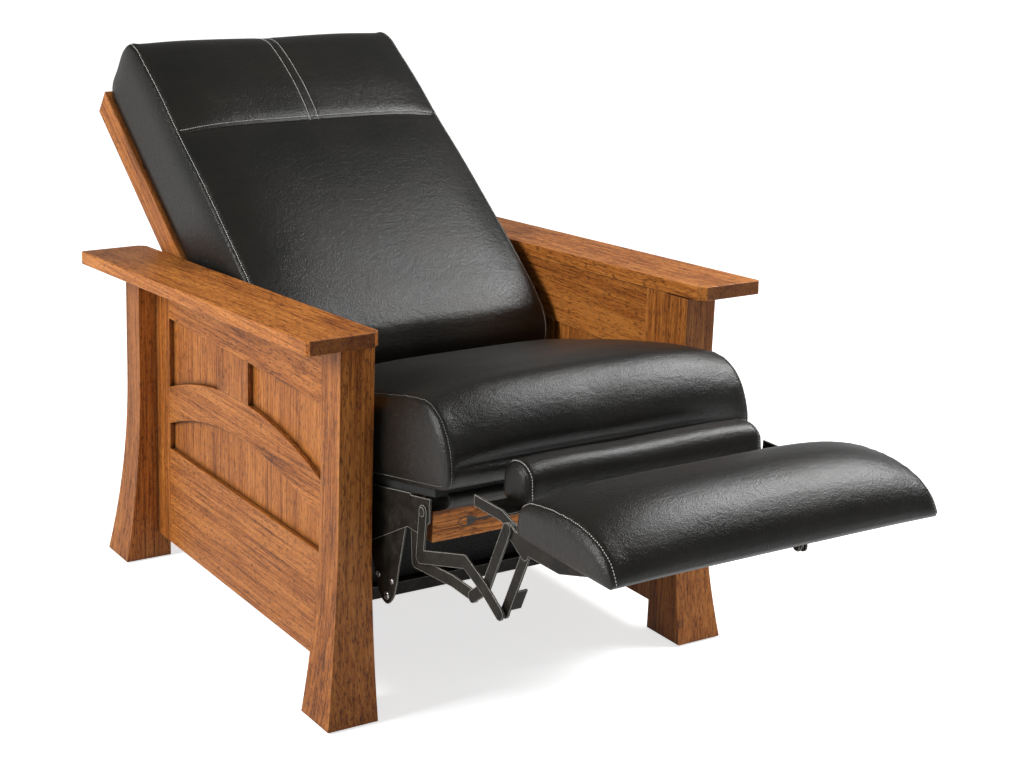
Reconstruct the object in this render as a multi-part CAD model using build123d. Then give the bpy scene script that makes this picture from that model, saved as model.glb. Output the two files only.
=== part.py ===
from build123d import *
from math import atan2, cos, degrees, radians, sin, sqrt, tan
import os

# A reclining armchair in oak with leather cushions, shown laid back with its
# footrest out. Millimetres. X is the width, Y the depth with the front towards
# -Y, Z up from the floor. The origin is on the floor under the middle of the
# laid-back chair. Angles are in degrees.

# Shared clearances
CUT_OVERRUN = 5.0
SOFT_CLEAR = 0.3
WOOD_FIT = 0.2
RUN_CLEAR = 0.3

# Arm boards
FRONT_Y = -283.0
CHAIR_W = 876.0
ARM_W = 129.0
ARM_T = 24.0
ARM_LENGTH = 905.0
ARM_FRONT_TOP_Z = 649.0
ARM_DROP = 50.0
ARM_INNER_CLIP = 13.0
ARM_OUTER_CLIP = 5.0
ARM_EDGE_R = 2.0

# Legs
LEG_SIZE = 60.0
LEG_INSET_FROM_ARM = 4.5
LEG_SET_FRONT = 29.0
LEG_SET_REAR = 41.0
LEG_FLARE = 31.0
LEG_FLARE_H = 360.0
FLOOR_GLIDE_T = 3.0
FLOOR_GLIDE_R = 14.0

# Side frames
SIDE_T = 20.0
STILE_W = 57.0
BOTTOM_RAIL_Z = 53.0
BOTTOM_RAIL_H = 187.0
TOP_RAIL_Z = 494.0
ARCH_LOW_END_Z = 290.0
ARCH_LOW_RISE = 59.0
ARCH_TOP_END_Z = 361.0
ARCH_TOP_RISE = 56.0
MULLION_W = 120.0
MULLION_BACK_SHIFT = 32.0
PANEL_T = 6.0
PANEL_RECESS = 10.0

# Rear rail
REAR_RAIL_Z = 330.0
REAR_RAIL_H = 120.0
REAR_RAIL_T = 20.0
REAR_RAIL_SET = 8.0

# Steel base on the side frames
SHEET = 3.0
SLIDE_PITCH = 6.0
BASE_LEG_GAP = 6.0
BASE_REAR_GAP = 103.0
BASE_END_SPARE = 71.0
SLIDE_TRAVEL = 120.0
BASE_TOP_Z = 235.0
BASE_DEPTH = 35.0
BASE_FLANGE_W = 16.0
DROP_W = 42.0
DROP_FRONT_SET = 34.0
DROP_REAR_SET = 45.0
DROP_LENGTH = 52.0
CROSS_SIZE = 22.0
CROSS_T = 2.5
SCREW_R = 2.5
SCREW_HEAD_R = 5.0
SCREW_HEAD_T = 2.5
SCREW_LENGTH = 16.0
SCREW_HOLE_CLEAR = 0.2

# Seat cushion and deck
SEAT_PITCH = 11.0
SEAT_REF_DEPTH = -123.0
SEAT_REF_Z = 432.0
SEAT_SIDE_GAP = 17.0
SEAT_LENGTH = 599.0
SEAT_SIDE_H = 132.0
SEAT_CROWN = 34.0
SEAT_CUSHION_REAR_SET = 159.0
SEAT_REAR_H = 117.5
SEAT_REAR_CROWN = 34.0
SEAT_NOSE = 46.0
SEAT_NOSE_CROWN = 7.0
SEAT_CREASE = 33.0
SEAT_CREASE_H = 42.0
SEAT_TOP_START = 36.0
SEAT_TOP_SAG = 5.0
SEAT_BAND = 38.0
DECK_T = 15.0
DECK_SIDE_GAP = 29.0
DECK_FRONT_SET = 8.0
DECK_REAR_SET = 7.0
DECK_RAIL_T = 22.0
DECK_RAIL_SIDE_GAP = 47.0
DECK_RAIL_H = 60.0
DECK_RAIL_REAR_SET = 14.0

# Front rail under the seat
OAK_RAIL_SET = -78.0
OAK_RAIL_T = 24.0
OAK_RAIL_Z = 325.0
OAK_RAIL_H = 51.0
OAK_RAIL_SIDE_GAP = 50.0
OAK_RAIL_R = 1.5
INLAY_T = 1.5
INLAY_FIT = 0.1
INLAY_END_GAP = 63.0
INLAY_LINE = 1.5
INLAY_LEAF_L = 36.0
INLAY_LEAF_H = 17.0
INLAY_STEM_L = 92.0
INLAY_STEM_H = 4.0

# Steel plates and links, in layers of equal pitch counted inwards
PLATE_T = 3.0
LAYER_CLEAR = 0.3
MECH_SIDE_GAP = 20.4
STUD_R = 4.5
STUD_CLEAR = 0.3
STUD_HEAD_R = 7.5
STUD_HEAD_T = 2.0
SMALL_HEAD_R = 6.0
FRONT_LINK_W = 21.0
REAR_LINK_W = 19.0
OUTER_LINK_W = 19.0
INNER_LINK_W = 18.0

# Pivots of the footrest linkage, depth from the arm fronts and height
FRONT_PIVOT = (-96.0, 387.0)
REAR_PIVOT_OFF = (35.4, -27.0)
FRONT_ARM = (-172.5, -60.4)
TIP_OFF = (-41.0, -24.0)
RISER = (-48.5, 107.0)
FRONT_KNEE = (6.0, -75.0)
FRONT_ELBOW = (-120.0, -38.0)
REAR_KNEE = (-6.0, -66.0)
REAR_ELBOW = (-112.0, -58.0)
LIP_W = 17.0
LIP_START = 13.0
LIP_END = 50.0

# Seat plates
PLATE_LUG = 14.0
PLATE_WEB_SET = 178.0
PLATE_HEEL = 32.0
BACK_LUG_R = 18.0
BACK_LUG_SET = 8.0
RUNNER_W = 15.0
RUNNER_SET = 100.0
GLIDE_T = 6.0
GLIDE_L = 32.0
GLIDE_W = 9.0
GLIDE_FRONT_SET = 12.0
GLIDE_REAR_SET = 58.0
GLIDE_SIDE_SET = 5.5

# Back frame and cushion, laid along the slope from the pivot, which stands
# off the rear end of the seat cushion's underside
BACK_PIVOT_OFF = (61.0, 47.3)
BACK_SLOPE = 36.5
BACK_START = 50.0
BACK_END = 772.0
BACK_SIDE_GAP = 13.0
BACK_STILE_T = 20.0
BACK_STILE_D = 54.0
BACK_PIVOT_SET = 7.0
BACK_RAIL_T = 20.0
BACK_TOP_RAIL_H = 70.0
BACK_BOTTOM_RAIL_START = 125.0
BACK_BOTTOM_RAIL_H = 60.0
BACK_PANEL_T = 6.0
BACK_PANEL_RECESS = 9.0
BACK_BRACKET_LENGTH = 135.0
BACK_BRACKET_W = 32.0
BACK_PIN_R = 6.0
BACK_HEAD_R = 11.0
BACK_COLLAR_R = 9.0
BACK_CUSHION_START = -50.0
BACK_CUSHION_T = 150.0
BACK_CUSHION_SIDE_GAP = 19.0
BACK_CROWN = 18.0
BACK_SEAM_SET = 272.0
BACK_SEAM_DEPTH = 6.0
BACK_TOP_ROUND = 22.0
BACK_BOTTOM_ROUND = 36.0
BACK_PUFF = 8.0
BACK_TUFT_DEPTH = 9.0
BACK_TUFT_W = 30.0

# Footrest pads and their brackets
PAD_SIDE_GAP = 11.0
PAD_GAP = 33.0
PAD_RISE = 3.0
PAD_DEPTH = 227.0
PAD_SIDE_H = 58.0
PAD_CROWN = 27.0
PAD_REAR_H = 44.0
PAD_FRONT_H = 38.0
PAD_FRONT_PUFF = 7.0
BOARD_T = 12.0
BOARD_INSET = 11.0
BRACKET_LENGTH = 170.0
BRACKET_DROP = 26.0
BRACKET_FLANGE_W = 26.0
MID_SIDE_GAP = 85.0
MID_SET = 42.0
MID_DEPTH = 66.0
MID_SIDE_H = 56.0
MID_CROWN = 12.0
MID_RISE = 4.0
MID_BOARD_T = 9.0
MID_BOARD_INSET = 9.0
MID_FLANGE_W = 82.0
MID_PLATE_H = 17.0
MID_PLATE_RUN = 28.0
MID_PLATE_LENGTH = 100.0

# How a cushion's crown fills out from its side seam, and how far its sides
# draw in beyond the seam
CROWN_STEPS = 7
CROWN_POWER = 5
SIDE_DRAW = 5.0
SIDE_DRAW_SHARE = 0.96

# Values worked out from the sizes above
SIDE_IN_X = CHAIR_W / 2 - ARM_W
SIDE_OUT_X = SIDE_IN_X + SIDE_T
SEAT_HALF_W = SIDE_IN_X - SEAT_SIDE_GAP
DECK_HALF_W = SIDE_IN_X - DECK_SIDE_GAP
DECK_RAIL_HALF = SIDE_IN_X - DECK_RAIL_SIDE_GAP
OAK_RAIL_HALF = SIDE_IN_X - OAK_RAIL_SIDE_GAP
INLAY_LEAF_X = OAK_RAIL_HALF - INLAY_END_GAP
MECH_OUTER_X = SIDE_IN_X - MECH_SIDE_GAP
BACK_HALF_W = SIDE_IN_X - BACK_SIDE_GAP
BACK_CUSHION_HALF_W = SIDE_IN_X - BACK_CUSHION_SIDE_GAP
PAD_HALF_W = SIDE_IN_X - PAD_SIDE_GAP
MID_HALF_W = SIDE_IN_X - MID_SIDE_GAP
LEG_IN_X = SIDE_IN_X - LEG_INSET_FROM_ARM
ARM_SLOPE = ARM_DROP / ARM_LENGTH
LEG_FRONT_Y0 = FRONT_Y + LEG_SET_FRONT
LEG_FRONT_Y1 = LEG_FRONT_Y0 + LEG_SIZE
LEG_REAR_Y1 = FRONT_Y + ARM_LENGTH - LEG_SET_REAR
LEG_REAR_Y0 = LEG_REAR_Y1 - LEG_SIZE
OPEN_Y0 = LEG_FRONT_Y1 + STILE_W
OPEN_Y1 = LEG_REAR_Y0 - STILE_W
OPEN_MID_Y = (OPEN_Y0 + OPEN_Y1) / 2
BASE_Y0 = LEG_FRONT_Y1 + BASE_LEG_GAP
BASE_Y1 = LEG_REAR_Y0 - BASE_REAR_GAP
SEAT_REF_Y = FRONT_Y + SEAT_REF_DEPTH
DECK_TOP = -SOFT_CLEAR
DECK_UNDER = DECK_TOP - DECK_T
OAK_RAIL_Y0 = FRONT_Y + OAK_RAIL_SET
OAK_RAIL_Y1 = OAK_RAIL_Y0 + OAK_RAIL_T
BACK_FACE = BACK_STILE_D - BACK_PIVOT_SET


def moved(point, step):
    return (point[0] + step[0], point[1] + step[1])


def seat_place(s, h):
    """Y and Z of a point s along the pitched seat and h above its underside."""
    pitch = radians(SEAT_PITCH)
    return (SEAT_REF_Y + s * cos(pitch) + h * sin(pitch), SEAT_REF_Z - s * sin(pitch) + h * cos(pitch))


BACK_Y, BACK_Z = moved(seat_place(SEAT_LENGTH, 0), BACK_PIVOT_OFF)
HEEL_Y = BACK_Y + BACK_LUG_R - BACK_LUG_SET
REAR_GLIDE_Y = BASE_Y1 - BASE_END_SPARE - SLIDE_TRAVEL - GLIDE_L
RUNNER_END_Y = REAR_GLIDE_Y + GLIDE_REAR_SET
PIVOT_F = (FRONT_Y + FRONT_PIVOT[0], FRONT_PIVOT[1])
PIVOT_R = moved(PIVOT_F, REAR_PIVOT_OFF)
PIVOT_P = moved(PIVOT_F, FRONT_ARM)
PIVOT_P2 = moved(PIVOT_P, REAR_PIVOT_OFF)
PIVOT_E = moved(PIVOT_P, TIP_OFF)
PIVOT_Q = moved(PIVOT_P, RISER)
PIVOT_Q2 = moved(PIVOT_Q, TIP_OFF)
PAD_REAR_Y = PIVOT_Q[0] - PAD_GAP
PAD_FRONT_Y = PAD_REAR_Y - PAD_DEPTH
PAD_BOTTOM_Z = PIVOT_Q[1] + PAD_RISE
MID_Y0 = PIVOT_Q[0] + MID_SET
MID_Y1 = MID_Y0 + MID_DEPTH
MID_BOTTOM_Z = PIVOT_Q[1] + MID_RISE


def layer(index):
    """Inner face of the plate layer, counted inwards from the outermost."""
    return MECH_OUTER_X - PLATE_T - index * (PLATE_T + LAYER_CLEAR)


# Drawing helpers
def edges_between(place, start, steps):
    """Edges from start through steps; a step of two pairs is an arc."""
    edges = []
    here = start
    for step in steps:
        if isinstance(step[0], tuple):
            edges.append(ThreePointArc(place(here), place(step[0]), place(step[1])))
            here = step[1]
        else:
            edges.append(Line(place(here), place(step)))
            here = step
    if here != start:
        edges.append(Line(place(here), place(start)))
    return edges


def wire_yz(x, start, *steps):
    return Wire(edges_between(lambda p: Vector(x, p[0], p[1]), start, steps))


def slab_x(x0, x1, start, *steps):
    """A slab between two X planes, its outline given in Y and Z."""
    face = Face(wire_yz(x0, start, *steps))
    return extrude(face, amount=x1 - x0, dir=(1, 0, 0))


def slab_y(y0, y1, start, *steps):
    """A slab between two Y planes, its outline given in X and Z."""
    face = Face(Wire(edges_between(lambda p: Vector(p[0], y0, p[1]), start, steps)))
    return extrude(face, amount=y1 - y0, dir=(0, 1, 0))


def box(x0, x1, y0, y1, z0, z1):
    return slab_x(x0, x1, (y0, z0), (y1, z0), (y1, z1), (y0, z1))


def pin(x0, x1, centre, radius):
    """A round pin along X between two planes."""
    plane = Plane(origin=(x0, centre[0], centre[1]), x_dir=(0, 1, 0), z_dir=(1, 0, 0))
    return extrude(plane * Circle(radius), amount=x1 - x0)


def strap(x0, x1, width, *points):
    """A flat bar with round ends that runs through the points."""
    bar = None
    for here, there in zip(points, points[1:]):
        run = sqrt((there[0] - here[0]) ** 2 + (there[1] - here[1]) ** 2)
        angle = degrees(atan2(there[1] - here[1], there[0] - here[0]))
        middle = ((here[0] + there[0]) / 2, (here[1] + there[1]) / 2)
        plane = Plane(origin=(x0, middle[0], middle[1]), x_dir=(0, 1, 0), z_dir=(1, 0, 0))
        piece = extrude(plane * (Rot(0, 0, angle) * SlotCenterToCenter(run, width)), amount=x1 - x0)
        bar = piece if bar is None else bar + piece
    return bar


def sheet_under(x0, x1, y0, y1, height, slope, thickness):
    """A thin sheet whose underside is height(y) and that slopes with the slide."""
    low0 = height(y0)
    low1 = height(y1)
    tall = thickness / cos(radians(slope))
    return slab_x(x0, x1, (y0, low0), (y1, low1), (y1, low1 + tall), (y0, low0 + tall))


def node(name, shape):
    export_step(shape, "parts/" + name + ".step")


def node_pair(name, shape):
    """The part on the +X side, and its mirror image on the other."""
    node(name + "_right", shape)
    node(name + "_left", mirror(shape, about=Plane.YZ))


def both_sides(shapes):
    """Loose pieces on both sides, as one group of separate solids."""
    return Compound(children=list(shapes) + [mirror(shape, about=Plane.YZ) for shape in shapes])


# Side frames
def arm_under_z(y):
    pitch = atan2(ARM_DROP, ARM_LENGTH)
    return ARM_FRONT_TOP_Z - (y - FRONT_Y) * ARM_SLOPE - ARM_T / cos(pitch)


def arm_board():
    inner = SIDE_IN_X
    outer = CHAIR_W / 2
    points = (
        (inner + ARM_INNER_CLIP, 0),
        (outer - ARM_OUTER_CLIP, 0),
        (outer, ARM_OUTER_CLIP),
        (outer, ARM_LENGTH - ARM_OUTER_CLIP),
        (outer - ARM_OUTER_CLIP, ARM_LENGTH),
        (inner + ARM_INNER_CLIP, ARM_LENGTH),
        (inner, ARM_LENGTH - ARM_INNER_CLIP),
        (inner, ARM_INNER_CLIP),
    )
    board = extrude(make_face(Polyline(*points, close=True)), amount=-ARM_T)
    board = fillet(board.edges(), ARM_EDGE_R)
    pitch = degrees(atan2(ARM_DROP, ARM_LENGTH))
    return Pos(0, FRONT_Y, ARM_FRONT_TOP_Z) * Rot(-pitch, 0, 0) * board


def flare_arc(edge, outward):
    """Arc from the straight part of a leg's face down to its spread foot."""
    radius = (LEG_FLARE_H ** 2 + LEG_FLARE ** 2) / (2 * LEG_FLARE)
    half = LEG_FLARE_H / 2
    spread = radius - sqrt(radius ** 2 - half ** 2)
    middle = (edge + outward * spread, FLOOR_GLIDE_T + half)
    foot = (edge + outward * LEG_FLARE, FLOOR_GLIDE_T)
    return (middle, foot)


def leg(y0, y1, outward):
    """A square leg; outward is -1 where it spreads forward, 1 rearward."""
    top = LEG_IN_X + LEG_SIZE
    reach = ARM_FRONT_TOP_Z
    knee = FLOOR_GLIDE_T + LEG_FLARE_H
    front = slab_y(
        y0 - LEG_FLARE, y1 + LEG_FLARE,
        (LEG_IN_X, FLOOR_GLIDE_T), (LEG_IN_X, reach), (top, reach), (top, knee), flare_arc(top, 1),
    )
    face_y = y0 if outward < 0 else y1
    flat_y = y1 if outward < 0 else y0
    side = slab_x(
        LEG_IN_X, top + LEG_FLARE,
        (flat_y, FLOOR_GLIDE_T), (flat_y, arm_under_z(flat_y)), (face_y, arm_under_z(face_y)),
        (face_y, knee), flare_arc(face_y, outward),
    )
    return front & side


def arch_z(y, end_z, rise, offset=0):
    """Height of an arched edge at y, moved outwards along its radius."""
    half = (OPEN_Y1 - OPEN_Y0) / 2
    radius = (half ** 2 + rise ** 2) / (2 * rise)
    centre = end_z + rise - radius
    return centre + sqrt((radius + offset) ** 2 - (y - OPEN_MID_Y) ** 2)


def arch_step(y0, y1, end_z, rise, offset=0):
    """Arc step along an arched edge from y0 to y1."""
    middle = (y0 + y1) / 2
    return ((middle, arch_z(middle, end_z, rise, offset)), (y1, arch_z(y1, end_z, rise, offset)))


def side_stile(y0, y1):
    return slab_x(
        SIDE_IN_X, SIDE_OUT_X,
        (y0, BOTTOM_RAIL_Z), (y1, BOTTOM_RAIL_Z), (y1, arm_under_z(y1)), (y0, arm_under_z(y0)),
    )


def side_top_rail():
    return slab_x(
        SIDE_IN_X, SIDE_OUT_X,
        (OPEN_Y0, TOP_RAIL_Z), (OPEN_Y1, TOP_RAIL_Z),
        (OPEN_Y1, arm_under_z(OPEN_Y1)), (OPEN_Y0, arm_under_z(OPEN_Y0)),
    )


def side_bottom_rail():
    rail = box(SIDE_IN_X, SIDE_OUT_X, OPEN_Y0, OPEN_Y1, BOTTOM_RAIL_Z, BOTTOM_RAIL_Z + BOTTOM_RAIL_H)
    for place in screw_places():
        rail -= pin(SIDE_IN_X, SIDE_IN_X + SCREW_LENGTH, place, SCREW_R + SCREW_HOLE_CLEAR)
    return rail


def side_arch_rail():
    return slab_x(
        SIDE_IN_X, SIDE_OUT_X,
        (OPEN_Y0, ARCH_LOW_END_Z), arch_step(OPEN_Y0, OPEN_Y1, ARCH_LOW_END_Z, ARCH_LOW_RISE),
        (OPEN_Y1, ARCH_TOP_END_Z), arch_step(OPEN_Y1, OPEN_Y0, ARCH_TOP_END_Z, ARCH_TOP_RISE),
    )


MULLION_Y0 = OPEN_MID_Y + MULLION_BACK_SHIFT - MULLION_W / 2
MULLION_Y1 = MULLION_Y0 + MULLION_W


def over_arch(x0, x1, y0, y1):
    """A board that stands on the arch and ends under the top rail."""
    top = TOP_RAIL_Z - WOOD_FIT
    return slab_x(
        x0, x1,
        (y1, top), (y0, top), (y0, arch_z(y0, ARCH_TOP_END_Z, ARCH_TOP_RISE, WOOD_FIT)),
        arch_step(y0, y1, ARCH_TOP_END_Z, ARCH_TOP_RISE, WOOD_FIT),
    )


def side_panels():
    x1 = SIDE_OUT_X - PANEL_RECESS
    x0 = x1 - PANEL_T
    low = BOTTOM_RAIL_Z + BOTTOM_RAIL_H + WOOD_FIT
    y0 = OPEN_Y0 + WOOD_FIT
    y1 = OPEN_Y1 - WOOD_FIT
    lower = slab_x(
        x0, x1,
        (y1, low), (y0, low), (y0, arch_z(y0, ARCH_LOW_END_Z, ARCH_LOW_RISE, -WOOD_FIT)),
        arch_step(y0, y1, ARCH_LOW_END_Z, ARCH_LOW_RISE, -WOOD_FIT),
    )
    front = over_arch(x0, x1, y0, MULLION_Y0 - WOOD_FIT)
    rear = over_arch(x0, x1, MULLION_Y1 + WOOD_FIT, y1)
    return lower, front, rear


def rear_rail():
    y0 = LEG_REAR_Y0 + REAR_RAIL_SET
    return box(-LEG_IN_X, LEG_IN_X, y0, y0 + REAR_RAIL_T, REAR_RAIL_Z, REAR_RAIL_Z + REAR_RAIL_H)


def floor_glides():
    middle_x = LEG_IN_X + (LEG_SIZE + LEG_FLARE) / 2
    feet = []
    for y in (LEG_FRONT_Y0 + LEG_SIZE / 2 - LEG_FLARE / 2, LEG_REAR_Y0 + LEG_SIZE / 2 + LEG_FLARE / 2):
        disc = Plane(origin=(middle_x, y, 0)) * Circle(FLOOR_GLIDE_R)
        feet.append(extrude(disc, amount=FLOOR_GLIDE_T))
    return feet


# Steel base
def base_top_z(y):
    """Top of the base rail, which falls to the rear with the slide."""
    return BASE_TOP_Z - (y - BASE_Y0) * tan(radians(SLIDE_PITCH))


def base_low_z(y):
    return base_top_z(y) - BASE_DEPTH


DROP_STARTS = (BASE_Y0 + DROP_FRONT_SET, BASE_Y1 - DROP_REAR_SET - DROP_W)


def screw_places():
    """Two screws in each drop plate of the base."""
    places = []
    for start in DROP_STARTS:
        y = start + DROP_W / 2
        places.append((y, base_low_z(y) + BASE_DEPTH / 2))
        places.append((y, base_low_z(y) - DROP_LENGTH / 3))
    return places


def base_rail():
    front, rear = DROP_STARTS
    x1 = SIDE_IN_X
    x0 = x1 - SHEET
    web = slab_x(
        x0, x1,
        (BASE_Y0, base_top_z(BASE_Y0)), (BASE_Y0, base_low_z(BASE_Y0)), (front, base_low_z(front)),
        (front, base_low_z(front) - DROP_LENGTH), (front + DROP_W, base_low_z(front) - DROP_LENGTH),
        (front + DROP_W, base_low_z(front + DROP_W)), (rear, base_low_z(rear)),
        (rear, base_low_z(rear) - DROP_LENGTH), (rear + DROP_W, base_low_z(rear) - DROP_LENGTH),
        (rear + DROP_W, base_low_z(rear + DROP_W)), (BASE_Y1, base_low_z(BASE_Y1)),
        (BASE_Y1, base_top_z(BASE_Y1)),
    )
    tall = SHEET / cos(radians(SLIDE_PITCH))
    flange = sheet_under(
        x0 - BASE_FLANGE_W, x0, BASE_Y0, BASE_Y1, lambda y: base_top_z(y) - tall, SLIDE_PITCH, SHEET,
    )
    rail = web + flange
    for place in screw_places():
        rail -= pin(x0, x1, place, SCREW_R + SCREW_HOLE_CLEAR)
    return rail


def cross_angle(start):
    """An angle bar from one side of the base to the other."""
    half = SIDE_IN_X - SHEET
    y0 = start + (DROP_W - CROSS_SIZE) / 2
    z1 = base_low_z(start) - DROP_LENGTH + CROSS_SIZE
    z0 = z1 - CROSS_SIZE
    y1 = y0 + CROSS_SIZE
    return slab_x(
        -half, half,
        (y0, z0), (y0, z1), (y1, z1), (y1, z1 - CROSS_T), (y0 + CROSS_T, z1 - CROSS_T), (y0 + CROSS_T, z0),
    )


def base_screws():
    face = SIDE_IN_X - SHEET
    screws = []
    for place in screw_places():
        head = pin(face - SCREW_HEAD_T, face, place, SCREW_HEAD_R)
        shank = pin(face, SIDE_IN_X + SCREW_LENGTH - SCREW_HEAD_T, place, SCREW_R)
        screws.append(head + shank)
    return screws


# Seat
def seat_z(y, h):
    """Height at y of the line that runs h above the seat's underside."""
    pitch = radians(SEAT_PITCH)
    return SEAT_REF_Z - (y - SEAT_REF_Y) * tan(pitch) + h / cos(pitch)


def seat_section(x, fullness):
    """The cushion cut across X: flat base, rounded nose over a sewn crease."""
    top = SEAT_SIDE_H + SEAT_CROWN * fullness
    rear = SEAT_REAR_H + SEAT_REAR_CROWN * fullness
    nose = SEAT_NOSE + SEAT_NOSE_CROWN * fullness
    nose_h = SEAT_CREASE_H + (top - SEAT_CREASE_H) / 2
    rear_s = SEAT_LENGTH - SEAT_CUSHION_REAR_SET
    middle_s = rear_s / 2
    sag = top - SEAT_TOP_SAG * (1 - fullness)
    crease = (-SEAT_CREASE, SEAT_CREASE_H)
    steps = (
        (rear_s, 0),
        ((rear_s + SEAT_NOSE_CROWN, rear / 2), (rear_s, rear)),
        ((middle_s, sag), (SEAT_TOP_START, top)),
        ((-nose, nose_h), crease),
        ((-SEAT_BAND, SEAT_CREASE_H / 2), (-SEAT_CREASE / 2, 0)),
    )
    placed = []
    for step in steps:
        if isinstance(step[0], tuple):
            placed.append((seat_place(*step[0]), seat_place(*step[1])))
        else:
            placed.append(seat_place(*step))
    return wire_yz(x, seat_place(-SEAT_CREASE / 2, 0), *placed)


def drawn_in(wire, x):
    """The same outline at another X, a little smaller about its middle."""
    middle = wire.bounding_box().center()
    small = scale(wire, by=SIDE_DRAW_SHARE).wire()
    rest_share = 1 - SIDE_DRAW_SHARE
    step = (x - middle.X * SIDE_DRAW_SHARE, middle.Y * rest_share, middle.Z * rest_share)
    return Pos(*step) * small


def cushion_loft(section, half_width):
    """Two crowned halves from the middle to the side seams, with soft ends."""
    halves = []
    for side in (-1, 1):
        wires = []
        for step in range(CROWN_STEPS):
            share = sin(radians(90) * step / (CROWN_STEPS - 1))
            wires.append(section(side * share * (half_width - SIDE_DRAW), 1 - share ** CROWN_POWER))
        end = drawn_in(wires[-1], side * half_width)
        halves.append(Solid.make_loft(wires) + Solid.make_loft([wires[-1], end], ruled=True))
    return halves[0] + halves[1]


def seat_deck():
    return slab_x(
        -DECK_HALF_W, DECK_HALF_W,
        seat_place(DECK_FRONT_SET, DECK_TOP), seat_place(SEAT_LENGTH - DECK_REAR_SET, DECK_TOP),
        seat_place(SEAT_LENGTH - DECK_REAR_SET, DECK_UNDER), seat_place(DECK_FRONT_SET, DECK_UNDER),
    )


def deck_rail():
    y0 = OAK_RAIL_Y1
    y1 = seat_place(SEAT_LENGTH - DECK_RAIL_REAR_SET, DECK_UNDER)[0]
    low = DECK_UNDER - DECK_RAIL_H
    return slab_x(
        DECK_RAIL_HALF - DECK_RAIL_T, DECK_RAIL_HALF,
        (y0, seat_z(y0, DECK_UNDER)), (y1, seat_z(y1, DECK_UNDER)), (y1, seat_z(y1, low)),
        (y0, seat_z(y0, low)),
    )


def inlay_leaf(y0, y1, grow):
    """A leaf with two pointed ends, its outline moved outwards by grow."""
    z = OAK_RAIL_Z + OAK_RAIL_H / 2
    tip = INLAY_LEAF_X + INLAY_LEAF_L / 2 + grow
    root = INLAY_LEAF_X - INLAY_LEAF_L / 2 - grow
    wide = INLAY_LEAF_H / 2 + grow
    return slab_y(
        y0, y1,
        (tip, z), ((INLAY_LEAF_X, z + wide), (root, z)), ((INLAY_LEAF_X, z - wide), (tip, z)),
    )


def inlay_shape(y0, y1, grow):
    """A leaf, filled on its inner half and drawn in line on its outer half.

    It sits on a stem that runs towards the middle of the rail.
    """
    z = OAK_RAIL_Z + OAK_RAIL_H / 2
    reach = INLAY_LEAF_H
    outer_half = box(INLAY_LEAF_X + grow, OAK_RAIL_HALF, y0, y1, z - reach, z + reach)
    leaf = inlay_leaf(y0, y1, grow) - (inlay_leaf(y0, y1, -INLAY_LINE - grow) & outer_half)
    stem_h = INLAY_STEM_H / 2 + grow
    stem_end = INLAY_LEAF_X - INLAY_STEM_L - grow
    stem = slab_y(y0, y1, (INLAY_LEAF_X, z - stem_h), (INLAY_LEAF_X, z + stem_h),
                  (stem_end, z + stem_h), (stem_end, z - stem_h))
    return leaf + stem


def oak_rail():
    rail = box(-OAK_RAIL_HALF, OAK_RAIL_HALF, OAK_RAIL_Y0, OAK_RAIL_Y1, OAK_RAIL_Z, OAK_RAIL_Z + OAK_RAIL_H)
    rail = fillet(rail.edges(), OAK_RAIL_R)
    pocket = inlay_shape(OAK_RAIL_Y0 - CUT_OVERRUN, OAK_RAIL_Y0 + INLAY_T, INLAY_FIT)
    return rail - pocket - mirror(pocket, about=Plane.YZ)


def runner_z(y):
    """Underside of the seat's runner, above the base rail and its glides."""
    return base_top_z(y) + (RUN_CLEAR + GLIDE_T) / cos(radians(SLIDE_PITCH))


def seat_plate():
    x0 = layer(1)
    x1 = x0 + PLATE_T
    top = DECK_UNDER - SHEET
    web_y = PIVOT_F[0] + PLATE_WEB_SET
    toe_y = PIVOT_F[0] - PLATE_LUG
    shoulder_y = seat_place(SEAT_LENGTH + SEAT_NOSE_CROWN, DECK_TOP)[0] + PLATE_LUG
    low_f = PIVOT_F[1] - PLATE_LUG
    low_r = PIVOT_R[1] - PLATE_LUG
    plate = slab_x(
        x0, x1,
        (toe_y, seat_z(toe_y, top)), (shoulder_y, seat_z(shoulder_y, top)),
        (BACK_Y - BACK_LUG_R, BACK_Z),
        ((BACK_Y, BACK_Z + BACK_LUG_R), (BACK_Y + BACK_LUG_R, BACK_Z)),
        (HEEL_Y, runner_z(HEEL_Y)), (web_y, runner_z(web_y)), (web_y, runner_z(web_y) + PLATE_HEEL),
        (PIVOT_R[0] + PLATE_LUG, low_r), (PIVOT_R[0] - PLATE_LUG, low_r), (toe_y, low_f),
    )
    flange_y0 = OAK_RAIL_Y1
    flange_y1 = seat_place(SEAT_LENGTH - DECK_RAIL_REAR_SET, DECK_UNDER)[0]
    plate += sheet_under(
        DECK_RAIL_HALF, x1, flange_y0, flange_y1, lambda y: seat_z(y, top), SEAT_PITCH, SHEET,
    )
    runner_y0 = FRONT_Y + RUNNER_SET
    plate += sheet_under(x1, x1 + RUNNER_W, runner_y0, RUNNER_END_Y, runner_z, SLIDE_PITCH, SHEET)
    plate += stud(x1, 1, (0,), PIVOT_F, STUD_HEAD_R)
    plate += stud(x0, -1, (2,), PIVOT_R, STUD_HEAD_R)
    collar_end = BACK_HALF_W - BACK_STILE_T + RUN_CLEAR
    pin_end = collar_end - PLATE_T - LAYER_CLEAR - RUN_CLEAR
    plate += pin(collar_end, x0, (BACK_Y, BACK_Z), BACK_COLLAR_R)
    plate += pin(pin_end, collar_end, (BACK_Y, BACK_Z), BACK_PIN_R)
    plate += pin(pin_end - STUD_HEAD_T, pin_end, (BACK_Y, BACK_Z), BACK_HEAD_R)
    return plate


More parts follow.
